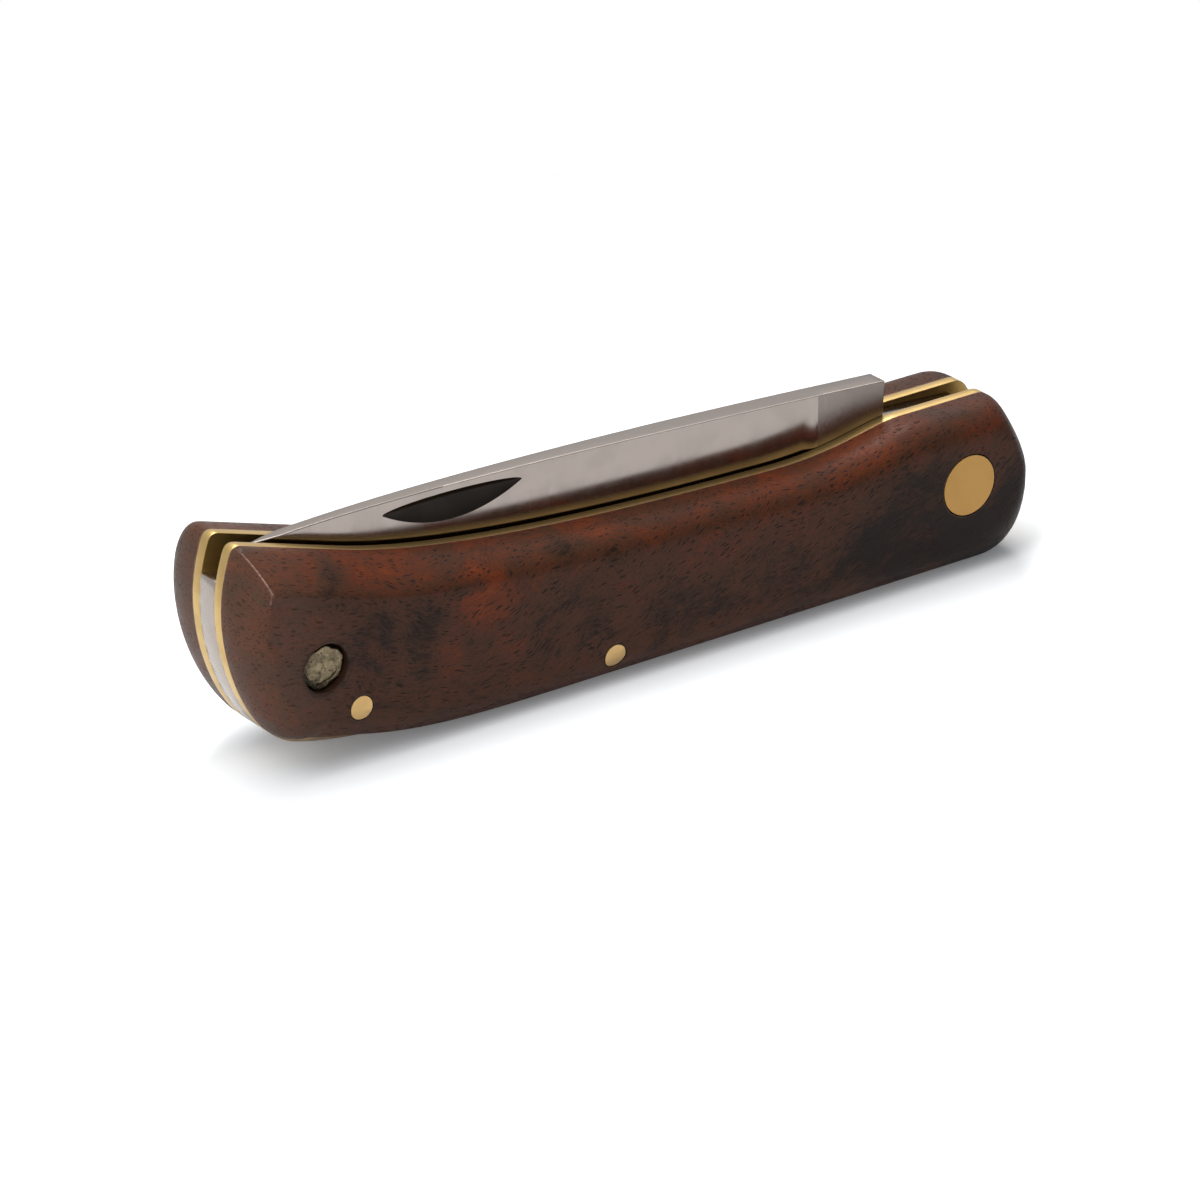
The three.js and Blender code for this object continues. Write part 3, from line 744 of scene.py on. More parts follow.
# Where the wood turns darker or redder: how far from the butt and how high, how far the patch reaches
# each way, and how much it changes the tone
WOOD_PATCHES = (
    (80.5, 7.5, 10.0, 8.5, -0.24),
    (89.5, 3.5, 7.0, 5.0, -0.22),
    (69.0, 6.0, 9.0, 5.0, -0.10),
    (37.0, 8.5, 6.5, 5.5, -0.15),
    (52.0, 6.0, 8.0, 4.5, -0.10),
    (20.3, 11.5, 3.0, 6.0, -0.12),
    (10.6, 20.4, 2.6, 1.3, -0.26),
    # Painted light: lighter on the top facet near the butt, which faces up to the light
    (5.5, 23.8, 5.0, 1.8, 0.16),
    # Painted sheen: lighter across the butt end
    (2.0, 14.0, 3.2, 11.0, 0.07),
    (13.3, 13.3, 4.0, 4.0, -0.10),
    (77.0, 17.6, 9.0, 3.0, 0.13),
    (61.5, 16.5, 8.0, 1.8, 0.16),
    (41.5, 17.8, 4.5, 2.2, 0.20),
    (27.2, 14.6, 4.0, 4.0, 0.26),
    (23.0, 9.0, 2.4, 3.8, 0.16),
    (18.0, 21.0, 12.0, 2.6, 0.20),
    (90.0, 15.0, 4.0, 2.5, 0.04),
    (25.2, 16.4, 3.0, 1.1, -0.18),
    (37.1, 16.0, 1.8, 1.4, -0.16),
    (94.5, 9.5, 4.0, 6.5, -0.14),
)

# How the flecks and the pores lie: along a grain that dips at the butt, rises along the handle, and turns
# further up round a flame
FLAME_PLACE = (29.0, 14.0)
FLAME_REACH = (9, 30, 9)
FLAME_TURN = math.radians(14)
GRAIN_RISE_AT_BUTT = math.radians(-13)
GRAIN_RISE = math.radians(19)
GRAIN_DRIFT = 5
PATCH_THROUGH = 22

# Noise that makes the tone, by its stretch, detail, roughness and distortion
FIGURE = ((0.10, 0.2, 0.2), 2, 0.5, 0.5)
MOTTLE = ((0.35, 0.8, 0.8), 4, 0.6, 0)
STREAKS = ((0.9, 4.5, 4.5), 3, 0.6, 0)
FLECKS = ((1.6, 3.6, 3.6), 3, 0.7, 0)
FIGURE_SHARE = 0.42
MOTTLE_SHARE = 0.38
STREAK_SHARE = 0.20
FLECK_CHANGE = 0.06

# Length, width, spacing, share of the cells that hold one, and strength
LONG_PORES = (1.1, 0.23, 0.34, 0.7, 1.0)
SMALL_PORES = (0.4, 0.14, 0.17, 0.75, 0.55)
PIN_RING_WIDTH = 0.4
RECESS_RING_WIDTH = 0.7


def figured_wood():
    material, tree, shader = new_finish("figured_wood", IOR=1.45, Specular_IOR_Level=0.12)
    place = millimetres(tree)
    drift = cloud(tree, place, 0.11, detail=2, output="Color")
    drift = stretched(tree, vector_maths(tree, "SUBTRACT", drift, (0.5, 0.5, 0.5)), (GRAIN_DRIFT,) * 3)
    drifted = vector_maths(tree, "ADD", place, drift)
    flame_centre = (BUTT_X + FLAME_PLACE[0], 0, FLAME_PLACE[1])
    flame = effect(tree, ZONE, Place=drifted, Centre=flame_centre, Reach=FLAME_REACH)["Mask"]
    along = x_of(tree, drifted)

    def from_butt_on(start, end, low, high):
        return fade(tree, along, BUTT_X + start, BUTT_X + end, low, high)

    rise = from_butt_on(10, 32, GRAIN_RISE_AT_BUTT, GRAIN_RISE)
    turn = plus(tree, rise, times(tree, flame, FLAME_TURN))
    turning = {"Vector": drifted, "Center": flame_centre, "Angle": turn}
    grain = add(tree, "VectorRotate", turning, rotation_type="Y_AXIS").outputs[0]

    def along_grain(stretch, detail, roughness, distortion):
        return cloud(tree, stretched(tree, grain, stretch), 1.0, detail, roughness, distortion)

    mottle, streaks, flecks = (along_grain(*noise_kind) for noise_kind in (MOTTLE, STREAKS, FLECKS))
    tone = plus(tree, times(tree, along_grain(*FIGURE), FIGURE_SHARE), times(tree, mottle, MOTTLE_SHARE))
    tone = plus(tree, tone, times(tree, streaks, STREAK_SHARE))
    tone = plus(tree, tone, fade(tree, flecks, 0.25, 0.75, -FLECK_CHANGE, FLECK_CHANGE))
    for from_butt_end, height, reach, up, change in WOOD_PATCHES:
        centre = (BUTT_X + from_butt_end, -SCALE_SIDE, height)
        patch = effect(tree, ZONE, Place=drifted, Centre=centre, Reach=(reach, PATCH_THROUGH, up))["Mask"]
        tone = plus(tree, tone, times(tree, patch, change))
    colour = WOOD_BLACK
    for start, full, wood in WOOD_TONES:
        colour = tint(tree, fade(tree, tone, start, full), colour, wood)
    # Painted sheen: the wood turns paler and greyer towards the butt end
    colour = tint(tree, from_butt_on(3, 13, 0.3, 0.0), colour, PALE_SHEEN_WOOD)

    def dark_pores(length, width, spacing, share, strength):
        pores = effect(tree, PORES, Place=grain, Length=length, Width=width, Spacing=spacing, Share=share)
        return times(tree, pores["Mask"], strength)

    pores = larger(tree, dark_pores(*LONG_PORES), dark_pores(*SMALL_PORES))
    colour = tint(tree, times(tree, pores, from_butt_on(4, 22, 0.6, 0.85)), colour, WOOD_BLACK)
    wear_and_highlight = effect(tree, EDGE_WEAR, Place=place, Radius=0.25 * MM, Breakup=0.6)["Mask"]
    # Painted highlight, partly wear: a pale line along the crease at the butt, broken up by the flecks
    line = add(tree, "Attribute", attribute_name=WORN_HIGHLIGHT_LINE).outputs["Fac"]
    line = times(tree, fade(tree, line, 0.1, 0.8), fade(tree, flecks, 0.35, 0.6, 0.15, 0.8))
    wear_and_highlight = larger(tree, times(tree, wear_and_highlight, 0.75), line)

    def dark_ring(centre, radius, width=PIN_RING_WIDTH):
        return effect(tree, RING, Place=place, Centre=centre, Radius=radius, Width=width)["Mask"]

    rings = dark_ring(BUTT_RIVET, RECESS_RADIUS, RECESS_RING_WIDTH)
    for centre, radius in ((PIVOT, PIVOT_HEAD_RADIUS), *SMALL_PINS):
        rings = larger(tree, rings, dark_ring(centre, radius))
    rings = times(tree, rings, fade(tree, streaks, 0.35, 0.6, 0.9, 0.6))
    # Worn edges and the painted highlight along the crease turn pale, but not round the holes
    colour = tint(tree, times(tree, wear_and_highlight, minus(tree, 1.0, rings)), colour, WORN_HIGHLIT_WOOD)
    colour = tint(tree, times(tree, rings, 0.75), colour, WOOD_BLACK)
    height = minus(tree, times(tree, streaks, 0.3), pores)
    rough = fade(tree, mottle, 0.3, 0.7, 0.34, 0.44)
    drive(
        tree, shader, Base_Color=colour, Normal=relief(tree, height, 0.02),
        Roughness=plus(tree, rough, times(tree, pores, 0.2)),
    )
    return material


# How bright worn edges are, and how strongly tarnish, scratches and those edges show
EDGE_SHINE = 1.25
TARNISH_SHARE = 0.5
SCRATCH_SHARE = 0.1
SHINE_SHARE = 0.5


def metal(name, colour, tarnish, roughness, stretch, depth, ends=None):
    """A ground or sanded metal with fine lines, patches of tarnish and brighter edges.

    Its colour may change close to both ends of the handle, as painted light where light reaches into the
    slot.
    """
    material, tree, shader = new_finish(name, Metallic=1.0)
    place = millimetres(tree)
    lines = effect(tree, FINE_LINES, Place=place, Stretch=stretch)
    patches = cloud(tree, place, 0.35, roughness=0.55)
    edges = effect(tree, EDGE_WEAR, Place=place, Radius=0.12 * MM, Breakup=0.4)["Mask"]
    dulled = times(tree, fade(tree, patches, 0.4, 0.66), TARNISH_SHARE)
    base = tint(tree, dulled, colour, tarnish)
    base = tint(tree, times(tree, lines["Scratches"], SCRATCH_SHARE), base, tarnish)
    # Painted light: lighter close to both ends
    if ends:
        middle, half = (BUTT_X + NOSE_X) / 2, (NOSE_X - BUTT_X) / 2
        from_middle = maths(tree, "ABSOLUTE", minus(tree, x_of(tree, place), middle))
        base = tint(tree, fade(tree, from_middle, half - 6, half - 0.5), base, ends)
    bright = tuple(EDGE_SHINE * part for part in colour)
    base = tint(tree, times(tree, edges, SHINE_SHARE), base, bright)
    rough = fade(tree, lines["Height"], 0.3, 0.7, roughness - 0.02, roughness + 0.03)
    drive(
        tree, shader, Base_Color=base, Normal=relief(tree, lines["Height"], depth),
        Roughness=plus(tree, rough, times(tree, dulled, 0.06)),
    )
    return material


PEENED_BRIGHT = (0.285, 0.225, 0.135)
PEENED_GREY = (0.175, 0.138, 0.083)
# Near black for the dirt in the pits and for the painted shade on the head
PEENED_DIRT_AND_SHADE = (0.014, 0.011, 0.007)
PEENED_RIM = (0.57, 0.45, 0.27)


def hammered_steel():
    """The dull head of the sunk rivet: blotched, pitted with dirt, and with a worn rim. Painted shade
    darkens its split, a crescent round its lower left and its rim.
    """
    material, tree, shader = new_finish("hammered_steel", Metallic=0.85)
    place = millimetres(tree)
    blotches = cloud(tree, place, 1.1, detail=4, roughness=0.65)
    grit = cloud(tree, place, 5.0, roughness=0.7)
    pits = effect(tree, PORES, Place=place, Length=0.22, Width=0.2, Spacing=0.4, Share=0.5)["Mask"]
    edges = effect(tree, EDGE_WEAR, Place=place, Radius=0.15 * MM, Breakup=0.8)["Mask"]
    base = tint(tree, fade(tree, blotches, 0.36, 0.62), PEENED_BRIGHT, PEENED_GREY)
    base = tint(tree, fade(tree, grit, 0.52, 0.72, 0.0, 0.6), base, PEENED_GREY)
    dirt_and_shade = larger(tree, fade(tree, pits, 0.1, 0.7, 0.0, 0.9), fade(tree, blotches, 0.62, 0.7, 0.0, 0.6))
    # Painted shade, from the layer that marks the split, the lower left and the rim of the head
    painted_shade = add(tree, "Attribute", attribute_name=RIVET_SHADE).outputs["Fac"]
    painted_shade = times(tree, painted_shade, fade(tree, grit, 0.66, 0.4, 0.6, 1.0))
    dirt_and_shade = larger(tree, dirt_and_shade, painted_shade)
    base = tint(tree, dirt_and_shade, base, PEENED_DIRT_AND_SHADE)
    base = tint(tree, times(tree, edges, SHINE_SHARE), base, PEENED_RIM)
    height = minus(tree, times(tree, grit, 0.6), plus(tree, dirt_and_shade, blotches))
    drive(
        tree, shader, Base_Color=base, Normal=relief(tree, height, 0.05),
        Roughness=fade(tree, grit, 0.3, 0.7, 0.42, 0.6),
    )
    return material


WOOD = figured_wood()
LINER_BRASS = metal("liner_brass", (0.56, 0.385, 0.15), (0.43, 0.28, 0.10), 0.36, (3, 8, 3), 0.0006)
# Painted shade and light: the liners' faces in the slot are a far darker brass for the shade between the
# liners, lighter near both ends where light reaches in
SHADED_SLOT_BRASS = metal(
    "shaded_slot_brass", (0.22, 0.135, 0.045), (0.12, 0.07, 0.02), 0.42, (0.4, 6, 6), 0.001, (0.50, 0.35, 0.12),
)
# Painted shade: the liners' faces beside the wood, which show below it at the heel, are a dull brass for
# the shaded floor they reflect
SHADED_LEDGE_BRASS = metal("shaded_ledge_brass", (0.42, 0.30, 0.19), (0.28, 0.20, 0.125), 0.45, (2, 2, 2), 0.001)
RIVET_BRASS = metal("rivet_brass", (0.38, 0.212, 0.067), (0.335, 0.184, 0.057), 0.32, (9, 1, 1.5), 0.0008)
PIN_BRASS = metal("pin_brass", (0.54, 0.355, 0.15), (0.48, 0.30, 0.12), 0.34, (2, 2, 2), 0.0008)
SPRING_STEEL = metal("spring_steel", (0.38, 0.33, 0.295), (0.345, 0.30, 0.268), 0.26, (8, 8, 0.3), 0.0004)
RIVET_STEEL = hammered_steel()

# The grind lines run up and down the blade
GRIND = (9, 0.8, 0.12)
BLADE_STEEL = metal("blade_steel", (0.345, 0.296, 0.266), (0.30, 0.258, 0.231), 0.14, GRIND, 0.0004)
# Painted shade: the nick is steel coloured near black, standing in for the dark its hollow reflects
NICK_SHADED_STEEL = metal("nick_shaded_steel", (0.026, 0.021, 0.018), (0.020, 0.016, 0.014), 0.3, GRIND, 0.0004)
STOCK_STEEL = metal("stock_steel", (0.265, 0.228, 0.205), (0.23, 0.197, 0.176), 0.28, GRIND, 0.0005)
BACK_STEEL = metal("back_steel", (0.265, 0.228, 0.205), (0.23, 0.198, 0.178), 0.3, (0.12, 9, 9), 0.0006)
# Partly wear, partly painted highlight: the back's rounded edges are lighter steel so that they show as a
# bright line
WORN_HIGHLIT_STEEL = metal("worn_highlit_steel", (0.66, 0.57, 0.52), (0.56, 0.48, 0.44), 0.34, (9, 9, 9), 0.0002)
BLADE_FINISHES = [BLADE_STEEL, NICK_SHADED_STEEL, BACK_STEEL, WORN_HIGHLIT_STEEL, STOCK_STEEL]


# Pieces

def scale_body(side):
    """One wooden scale: straight beside its liner, then rounded over to a slightly crowned face."""
    straight = SCALE_SIDE - ROUNDING_DEPTH
    rings = [(wood_outline(0, side), side * LINER_SIDE)]
    for step in steps_of(ROUNDING_STEPS):
        share = math.sin(math.pi / 2 * step)
        rings.append((wood_outline(share, side), side * (straight + (ROUNDING_DEPTH - FACE_CROWN) * share)))
    rings.append((wood_outline(1, side, FACE_BAND), side * SCALE_SIDE))
    body = with_holes(lofted(rings), PIVOT_HEAD_RADIUS, WOOD_GAP)
    floor = SCALE_SIDE - BUTT_HEAD_DEPTH - BUTT_HEAD_HEIGHT
    rim = RECESS_RADIUS + RECESS_CHAMFER + CUT_MARGIN
    profile = [
        (0, floor), (RECESS_RADIUS, floor), (RECESS_RADIUS, SCALE_SIDE - RECESS_CHAMFER),
        (rim, SCALE_SIDE + CUT_MARGIN), (0, SCALE_SIDE + CUT_MARGIN),
    ]
    return boolean(body, turned([(radius, side * y) for radius, y in profile], BUTT_RIVET))


def mark_worn_highlight(bm):
    """Tell the wood's finish how far each point of the front scale lies on the crease at its butt, where a
    pale line of wear and painted highlight goes.
    """
    layer = bm.verts.layers.float.new(WORN_HIGHLIGHT_LINE)
    crease = []
    for share in steps_of(CREASE_STEPS):
        place = wood_outline(share, -1)[EDGE_STEPS[0] + CORNER_STEPS // 2]
        crease.append(Vector((place.x, ROUNDING_DEPTH * (1 - share) - SCALE_SIDE, place.y)))
    for vert in bm.verts:
        if (vert.co - crease[0]).length > CREASE_REACH:
            continue
        for i, (start, end) in enumerate(zip(crease, crease[1:])):
            nearest, share = intersect_point_line(vert.co, start, end)
            nearest = start.lerp(end, min(max(share, 0), 1))
            worn = 1 - (vert.co - nearest).length / WORN_HIGHLIGHT_WIDTH
            vert[layer] = max(vert[layer], worn * min(1, WORN_HIGHLIGHT_START + i / CREASE_STEPS))


def make_scales():
    for side, node in ((-1, "front_scale"), (1, "rear_scale")):
        body = scale_body(side)
        if side < 0:
            mark_worn_highlight(body)
        finish_piece(body, node + "_wood", [WOOD], "handle", node)


def make_liners():
    """The brass plates: their edges, their faces in the slot and those beside the wood differ in finish,
    the last two coloured darker as painted shade.
    """
    finishes = [LINER_BRASS, SHADED_SLOT_BRASS, SHADED_LEDGE_BRASS]
    for side, node in ((-1, "front_liner"), (1, "rear_liner")):
        near, far = sorted((side * SPRING_SIDE, side * LINER_SIDE))
        body = plate(softened_outline(lambda inward: 0, CORNERS_IN_BRASS), near, far)
        body = soften(with_holes(body, PIVOT_SHANK_RADIUS, PIN_CLEARANCE), METAL_CORNER)
        for face in body.faces:
            if abs(face.normal.y) > PLATE_FACE:
                finish = SHADED_SLOT_BRASS if face.normal.y * side < 0 else SHADED_LEDGE_BRASS
                face.material_index = finishes.index(finish)
        finish_piece(body, node + "_brass", finishes, "handle", node)


def make_spring_and_pins():
    for node, finish, slot in (
        ("backspring", SPRING_STEEL, "spring_steel"),
        ("pivot_rivet", RIVET_BRASS, "rivet_brass"),
        ("pivot_burr", RIVET_BRASS, "rivet_brass"),
        ("centre_pin", PIN_BRASS, "rivet_brass"),
        ("rear_pin", PIN_BRASS, "rivet_brass"),
    ):
        body = soften(merged_copy(node), METAL_CORNER)
        finish_piece(body, node + "_metal", [finish], "handle", node)


def make_butt_rivet():
    """The hammered rivet: its heads are uneven, no longer quite round, and split along one side."""
    top = SCALE_SIDE - BUTT_HEAD_DEPTH
    under = top - BUTT_HEAD_HEIGHT
    rim = [(BUTT_HEAD_RADIUS - HEAD_EDGE * (1 - math.cos(turn)), top - HEAD_EDGE * (1 - math.sin(turn)))
           for turn in quarter_turn(HEAD_EDGE_STEPS)]
    flat = [((BUTT_HEAD_RADIUS - HEAD_EDGE) * (1 - step), top) for step in steps_of(HEAD_RINGS)[1:]]
    neck = [(BUTT_SHANK_RADIUS, 0), (BUTT_SHANK_RADIUS, under), (BUTT_HEAD_RADIUS - HEAD_UNDERCUT, under)]
    upper = [*neck, *rim, *flat]
    lower = [(radius, -y) for radius, y in reversed(upper)]
    bm = turned(lower[:-1] + upper[1:], BUTT_RIVET, HEAD_SIDES)
    # Painted shade: mark the split, a crescent round the lower left and the rim, for the finish to darken
    dirt_and_shade = bm.verts.layers.float.new(RIVET_SHADE)
    for vert in bm.verts:
        if abs(vert.co.y) < under + MERGE:
            continue
        around = vert.co - Vector((BUTT_RIVET.x, vert.co.y, BUTT_RIVET.z))
        reach = around.length / BUTT_HEAD_RADIUS
        outwards = around.normalized()
        towards_split = outwards.dot(SPLIT_DIRECTION)
        split = smooth_step(1 - abs(reach - SPLIT_PLACE) / SPLIT_HALF_WIDTH)
        split *= ramp(towards_split, *SPLIT_SPREAD)
        # The crescent of painted shade, round the lower left towards the rim
        rough = ramp(outwards.dot(SHADE_DIRECTION), *SHADE_SPREAD) * ramp(reach, *SHADE_REACH)
        vert[dirt_and_shade] = max(split, rough, ramp(reach, *SHADED_RIM))
        dents = sum(noise.noise(vert.co * scale) * height for scale, height in HEAD_DENTS)
        raised = min(dents - HEAD_TILT * towards_split * reach - HEAD_SINK, HEAD_HIGHEST)
        if abs(vert.co.y) > top - HEAD_EDGE:
            vert.co.y += math.copysign(1, vert.co.y) * (raised - SPLIT_DEPTH * split)
        waves = noise.noise(outwards * HEAD_WAVE_SCALE + Vector((0, vert.co.y, 0))) * HEAD_WAVES
        vert.co += around * (waves - HEAD_PULLED_IN - HEAD_TOP_PULLED_IN * max(0, outwards.z) ** 2)
    finish_piece(bm, "butt_rivet_peened", [RIVET_STEEL], "handle", "butt_rivet", 60)


# Blade

def turned_open(x, z):
    """A place on the tang, given as it lies with the blade open, in the closed blade."""
    cos, sin = math.cos(OPEN_ANGLE), math.sin(OPEN_ANGLE)
    return Vector((x * cos - z * sin, x * sin + z * cos))


NOTCH = turned_open(TANG_SHOULDER, -TANG_SEAT_RADIUS)
ALONG_SHOULDER = turned_open(0, -1)
SHOULDER_RISE = (SPINE_SHOULDER_HEIGHT - PIVOT.z - NOTCH.y) / ALONG_SHOULDER.y
PIVOT_SIDE_VIEW = Vector((PIVOT.x, PIVOT.z))
SHOULDER_TOP = PIVOT_SIDE_VIEW + NOTCH + ALONG_SHOULDER * SHOULDER_RISE
SPINE_LINE = curve(TIP, TIP + SPINE_TIP_REACH, SHOULDER_TOP + SPINE_SHOULDER_REACH, SHOULDER_TOP)
BELLY_END = from_butt(BELLY_START - BELLY_REACH, EDGE_HEIGHT)
EDGE_LINE = [
    *curve(TIP, TIP + BELLY_TIP_REACH, BELLY_END, from_butt(BELLY_START, EDGE_HEIGHT)),
    from_pivot(0, EDGE_HEIGHT),
]
PLUNGE_X = PIVOT.x - PLUNGE_FROM_PIVOT


def height_at(line, x):
    following = next((i for i, point in enumerate(line) if point.x >= x), len(line) - 1)
    before, after = line[max(following, 1) - 1], line[max(following, 1)]
    return before.y + (after.y - before.y) * (x - before.x) / (after.x - before.x)


def spine_half_thickness(x):
    taper = TIP_HALF_THICKNESS + (BLADE_SIDE - TIP_HALF_THICKNESS) * (x - TIP.x) / TAPER_LENGTH
    wedge = EDGE_HALF_THICKNESS + (height_at(SPINE_LINE, x) - height_at(EDGE_LINE, x)) * TIP_WEDGE
    return min(BLADE_SIDE, taper, wedge)


def face_at(x, z):
    """How far the ground face, which is a little full, stands out from the middle of the blade."""
    edge = height_at(EDGE_LINE, x)
    share = min(1, (z - edge) / (height_at(SPINE_LINE, x) - edge))
    full = 1 - (1 - share) ** GRIND_FULLNESS
    return EDGE_HALF_THICKNESS + (spine_half_thickness(x) - EDGE_HALF_THICKNESS) * full


def section_at(x):
    """Half of the blade's section, from the middle of its edge round the front to that of its back."""
    edge, back = height_at(EDGE_LINE, x), height_at(SPINE_LINE, x)
    bevel = min(EDGE_BEVEL, (back - edge) / 4)
    corner = min(SPINE_CORNER, spine_half_thickness(x) / 2, (back - edge) / 4)
    to_stock = smooth_step((x - PLUNGE_X + PLUNGE_WIDTH) / PLUNGE_WIDTH)
    points = [(APEX_HALF_THICKNESS, edge)]
    for share in steps_of(FACE_ROWS):
        z = edge + bevel + (back - corner - edge - bevel) * share
        points.append((face_at(x, z), z))
    face = points[-1][0]
    stock = [BLADE_SIDE] * len(points)
    for turn in quarter_turn(CORNER_ROWS)[1:]:
        in_by = corner * (1 - math.cos(turn))
        points.append((face - in_by, back - corner * (1 - math.sin(turn))))
        stock.append(BLADE_SIDE - in_by)
    sides = [(y + (full - y) * to_stock, z) for (y, z), full in zip(points, stock)]
    return [(0, edge), *sides, (0, back)]


def ground_blade():
    """The flat-ground part of the blade, from its point to the plunge."""
    start, end = TIP.x + TIP_BLUNTNESS, PLUNGE_X + PLUNGE_WIDTH / 3
    near_plunge = (PLUNGE_X - PLUNGE_RUN_UP - start) / (end - start)
    shares = [share ** CROWDED_TO_TIP * near_plunge for share in steps_of(BLADE_STATIONS)]
    shares += [near_plunge + (1 - near_plunge) * share for share in steps_of(PLUNGE_STATIONS)[1:]]
    sections = [(x, section_at(x)) for x in (start + (end - start) * share for share in shares)]
    rows = len(sections[0][1]) - 1
    bm = bmesh.new()
    bmesh.ops.create_grid(bm, x_segments=len(sections) - 1, y_segments=rows, size=1)
    for vert in bm.verts:
        station = round((vert.co.x + 1) / 2 * (len(sections) - 1))
        row = round((vert.co.y + 1) / 2 * rows)
        x, section = sections[station]
        vert.co = (x, -section[row][0], section[row][1])
    bmesh.ops.mirror(bm, geom=bm.verts[:] + bm.edges[:] + bm.faces[:], merge_dist=MERGE, axis="Y")
    bmesh.ops.holes_fill(bm, edges=bm.edges)
    bmesh.ops.recalc_face_normals(bm, faces=bm.faces)
    return bm


def tang():
    """Ricasso and tang at full stock thickness, with their two seats and the cam between them."""
    cam = math.hypot(TANG_SEAT_END, TANG_SEAT_RADIUS)
    open_seat_end = turned_open(-TANG_SEAT_END, -TANG_SEAT_RADIUS)
    seat = -TANG_SEAT_RADIUS
    first_angle = math.atan2(open_seat_end.y, open_seat_end.x)
    last_angle = -math.atan2(TANG_SEAT_RADIUS, TANG_SEAT_END)
    arc = [first_angle + (last_angle - first_angle) * share for share in steps_of(CAM_STEPS)]
    spine = [point - PIVOT_SIDE_VIEW for point in SPINE_LINE if point.x > PLUNGE_X]
    kick = [
        Vector((-KICK_FROM_PIVOT + KICK_RADIUS, seat)), Vector((-KICK_FROM_PIVOT, seat)),
        Vector((-KICK_FROM_PIVOT, seat + KICK_RADIUS)),
    ]
    points = [
        Vector((-PLUNGE_FROM_PIVOT, height_at(SPINE_LINE, PLUNGE_X) - PIVOT.z)), *spine, NOTCH,
        *(Vector((math.cos(angle), math.sin(angle))) * cam for angle in arc),
        *curve(*kick)[::KICK_EVERY],
        Vector((-KICK_FROM_PIVOT - KICK_RADIUS, seat + RICASSO_RISE)),
        Vector((-PLUNGE_FROM_PIVOT, EDGE_HEIGHT - PIVOT.z)),
    ]
    outline = [PIVOT_SIDE_VIEW + point for point in points]
    return soften(plate(outline, -BLADE_SIDE, BLADE_SIDE), SPINE_CORNER)


def nick_wheel():
    """The wheel that cuts the nick, rounded towards the back of the blade and a cone towards the edge."""
    middle_x = BUTT_X + NICK_FROM_BUTT

    def on_face(x, drop):
        z = height_at(SPINE_LINE, x) - NICK_BELOW_SPINE - drop
        return Vector((x, -face_at(x, z), z))

    along = (on_face(middle_x + NICK_LENGTH / 2, 0) - on_face(middle_x - NICK_LENGTH / 2, 0)).normalized()
    up = on_face(middle_x, 0) - on_face(middle_x, NICK_HEIGHT)
    into = up.cross(along).normalized()
    up = along.cross(into)
    depth = NICK_WHEEL_RADIUS - math.sqrt(NICK_WHEEL_RADIUS ** 2 - (NICK_LENGTH / 2) ** 2)
    lower_end = NICK_RIM_DROP - 2 * NICK_HEIGHT
    profile = [(0, lower_end), (NICK_WHEEL_RADIUS - 2 * depth, lower_end)]
    for share in steps_of(RIM_STEPS):
        profile.append((NICK_WHEEL_RADIUS - 4 * depth * share ** 2, NICK_RIM_DROP * (2 * share - 1)))
    bm = turned([*profile, (0, NICK_RIM_DROP)], Vector(), NICK_WHEEL_SIDES)
    bmesh.ops.translate(bm, verts=bm.verts, vec=(0, 0, depth - NICK_WHEEL_RADIUS))
    turn = Matrix((along, up, into)).transposed().to_4x4()
    bmesh.ops.transform(bm, matrix=Matrix.Translation(on_face(middle_x, 0)) @ turn, verts=bm.verts)
    bmesh.ops.recalc_face_normals(bm, faces=bm.faces)
    for face in bm.faces:
        face.material_index = BLADE_FINISHES.index(NICK_SHADED_STEEL)
    return bm


def finish_back(bm):
    """Give the blade's back, its two worn edges with their painted highlight and the flats of its full
    stock finishes of their own.
    """
    for face in bm.faces:
        place = face.calc_center_median()
        on_back = place.x < SHOULDER_TOP.x and place.z > height_at(SPINE_LINE, place.x) - 2 * SPINE_CORNER
        if abs(face.normal.y) > STOCK_FACE and place.x > PLUNGE_X:
            finish = STOCK_STEEL
        elif on_back and face.normal.z > BACK_FACE:
            finish = BACK_STEEL
        elif on_back and face.normal.z > HIGHLIT_EDGE_FACE and place.x > TIP.x + HIGHLIT_EDGE_FROM_TIP:
            finish = WORN_HIGHLIT_STEEL
        else:
            continue
        face.material_index = BLADE_FINISHES.index(finish)


def make_blade():
    body = boolean(ground_blade(), tang(), "UNION", BLADE_FINISHES)
    body = boolean(body, hole_for(PIVOT, PIVOT_SHANK_RADIUS), materials=BLADE_FINISHES)
    body = boolean(body, nick_wheel(), materials=BLADE_FINISHES)
    finish_back(body)
    nick = BLADE_FINISHES.index(NICK_SHADED_STEEL)
    finish_piece(body, "blade_ground", BLADE_FINISHES, "blade", "blade", 24, nick)


make_scales()
make_liners()
make_spring_and_pins()
make_butt_rivet()
make_blade()


# Floor, light and camera

CAMERA_AZIMUTH = -0.63534610
CAMERA_ELEVATION = 0.43525241
CAMERA_DISTANCE = 653.2855
CAMERA_TARGET = Vector((-1.974, 0, 5.756))
CAMERA_LENS = 196.378

FLOOR_RADIUS = 0.13
FLOOR_BELOW = 0.00002
FLOOR_GLOW = 0.12
SKY_TINT = (0.92, 0.99, 1.06)

# What shiny surfaces see, and what lights the knife
MIRRORED_BEHIND = 0.72
MIRRORED_IN_FRONT = 0.10
MIRRORED_CEILING = 0.9
PLAIN_LIGHT = 0.13
LIGHT_FROM_LEFT = 0.95
LAMP_TARGET = (0, 0, 0.01)


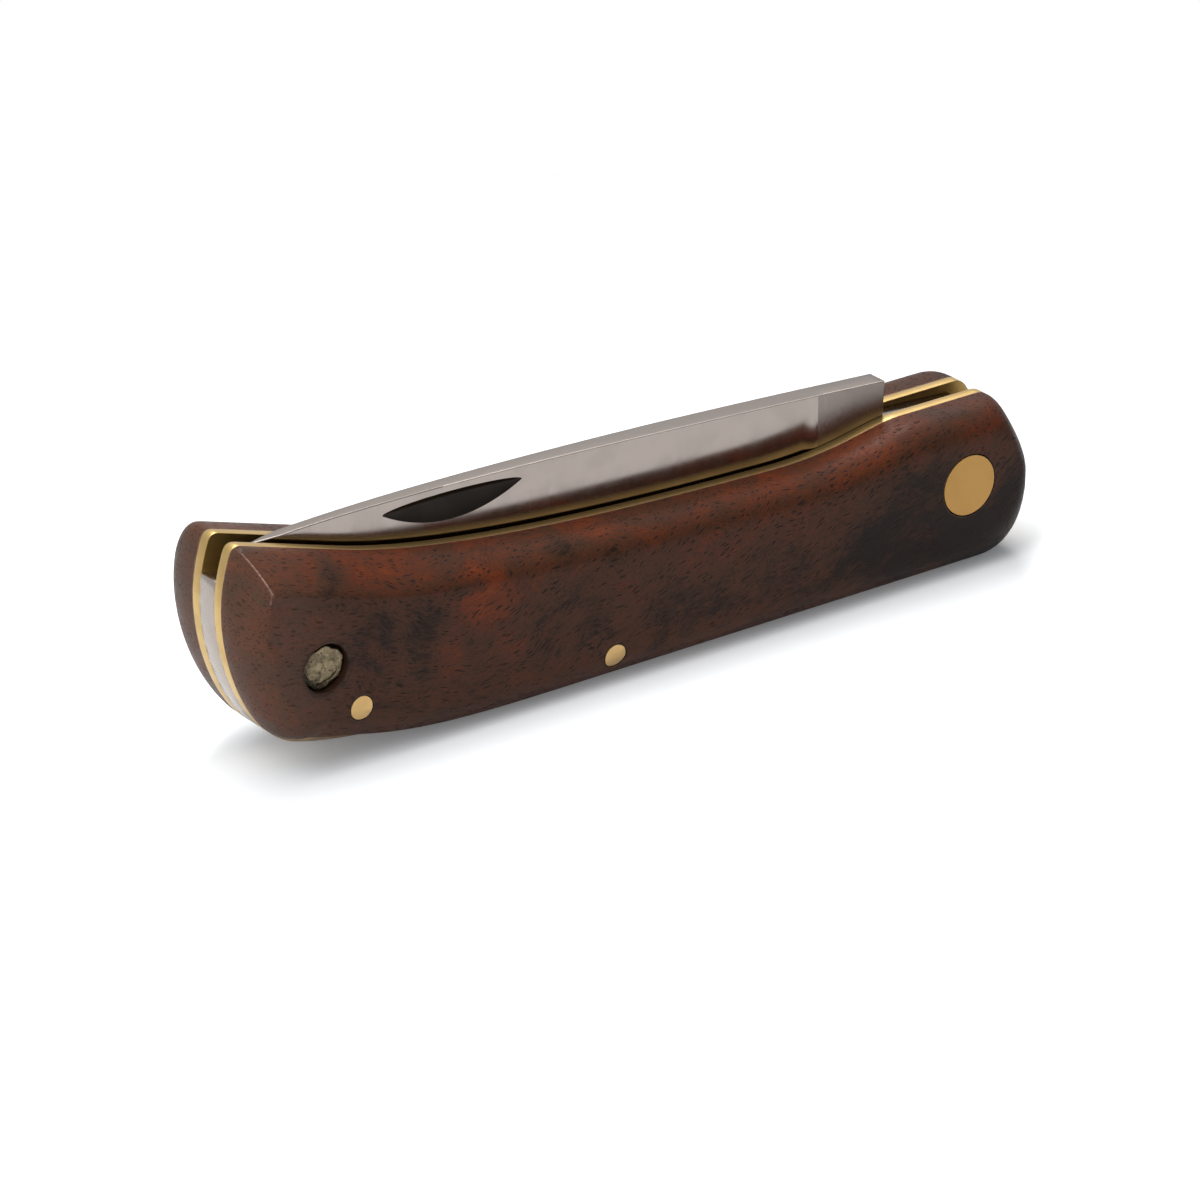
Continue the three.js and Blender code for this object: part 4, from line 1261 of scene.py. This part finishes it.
def make_floor():
    bm = bmesh.new()
    bmesh.ops.create_circle(bm, cap_ends=True, segments=96, radius=FLOOR_RADIUS)
    mesh = bpy.data.meshes.new("floor")
    bm.to_mesh(mesh)
    bm.free()
    material, tree, shader = new_finish(
        "floor_white", Roughness=0.9, Base_Color=(0.9, 0.9, 0.9, 1), Specular_IOR_Level=0.0,
        Emission_Color=(1, 1, 1, 1),
    )
    seen = add(tree, "LightPath").outputs["Is Camera Ray"]
    drive(tree, shader, Emission_Strength=times(tree, seen, FLOOR_GLOW))
    mesh.materials.append(material)
    floor = in_scene("floor", mesh)
    floor.location.z = -FLOOR_BELOW


def make_world():
    """A white backdrop behind the knife, a bright ceiling and an unlit room in front of it."""
    world = bpy.data.worlds.new("studio")
    bpy.context.scene.world = world
    world.use_nodes = True
    tree = world.node_tree
    tree.nodes.clear()
    direction = add(tree, "TexCoord").outputs["Generated"]
    towards = add(tree, "SeparateXYZ", {0: direction}).outputs
    to_front = fade(tree, towards["Y"], 0.1, -0.5)
    to_ceiling = fade(tree, towards["Z"], 0.25, 0.75)
    around = plus(tree, MIRRORED_BEHIND, times(tree, to_front, MIRRORED_IN_FRONT - MIRRORED_BEHIND))
    above = minus(tree, MIRRORED_CEILING, around)
    mirrored = plus(tree, around, times(tree, above, to_ceiling))
    rays = add(tree, "LightPath").outputs
    shiny = plus(tree, rays["Is Glossy Ray"], rays["Is Transmission Ray"], clamp=True)
    to_left = fade(tree, towards["X"], 0.1, -0.8)
    plain = plus(tree, PLAIN_LIGHT, times(tree, to_left, LIGHT_FROM_LEFT))
    strength = plus(tree, plain, times(tree, shiny, minus(tree, mirrored, plain)))
    seen = rays["Is Camera Ray"]
    colour = tint(tree, plus(tree, shiny, seen, clamp=True), SKY_TINT, (1, 1, 1))
    background = add(tree, "Background", {"Color": colour, "Strength": larger(tree, strength, seen)})
    add(tree, "OutputWorld", {"Surface": background.outputs[0]})


def aim(thing, place, target):
    thing.location = place
    thing.rotation_euler = (Vector(place) - Vector(target)).to_track_quat("Z", "Y").to_euler()


def make_lamp(name, place, length, width, watts):
    lamp = bpy.data.lights.new(name, "AREA")
    lamp.shape = "ELLIPSE"
    lamp.size = length
    lamp.size_y = width
    lamp.energy = watts
    aim(in_scene(name, lamp), place, LAMP_TARGET)


def make_camera():
    lens = bpy.data.cameras.new("camera")
    lens.lens = CAMERA_LENS
    lens.sensor_width = 36
    lens.clip_start = 0.01
    lens.clip_end = 10
    camera = in_scene("camera", lens)
    back = Vector((
        math.sin(CAMERA_AZIMUTH) * math.cos(CAMERA_ELEVATION),
        -math.cos(CAMERA_AZIMUTH) * math.cos(CAMERA_ELEVATION),
        math.sin(CAMERA_ELEVATION),
    ))
    aim(camera, (CAMERA_TARGET + back * CAMERA_DISTANCE) * MM, CAMERA_TARGET * MM)
    bpy.context.scene.camera = camera


make_floor()
make_world()
make_lamp("overhead", (-0.05, 0.06, 0.5), 1.3, 0.14, 4.3)
make_lamp("left_front", (-0.5, -0.2, 0.28), 0.3, 0.3, 0.4)
make_camera()

bpy.context.scene.view_settings.view_transform = "Standard"
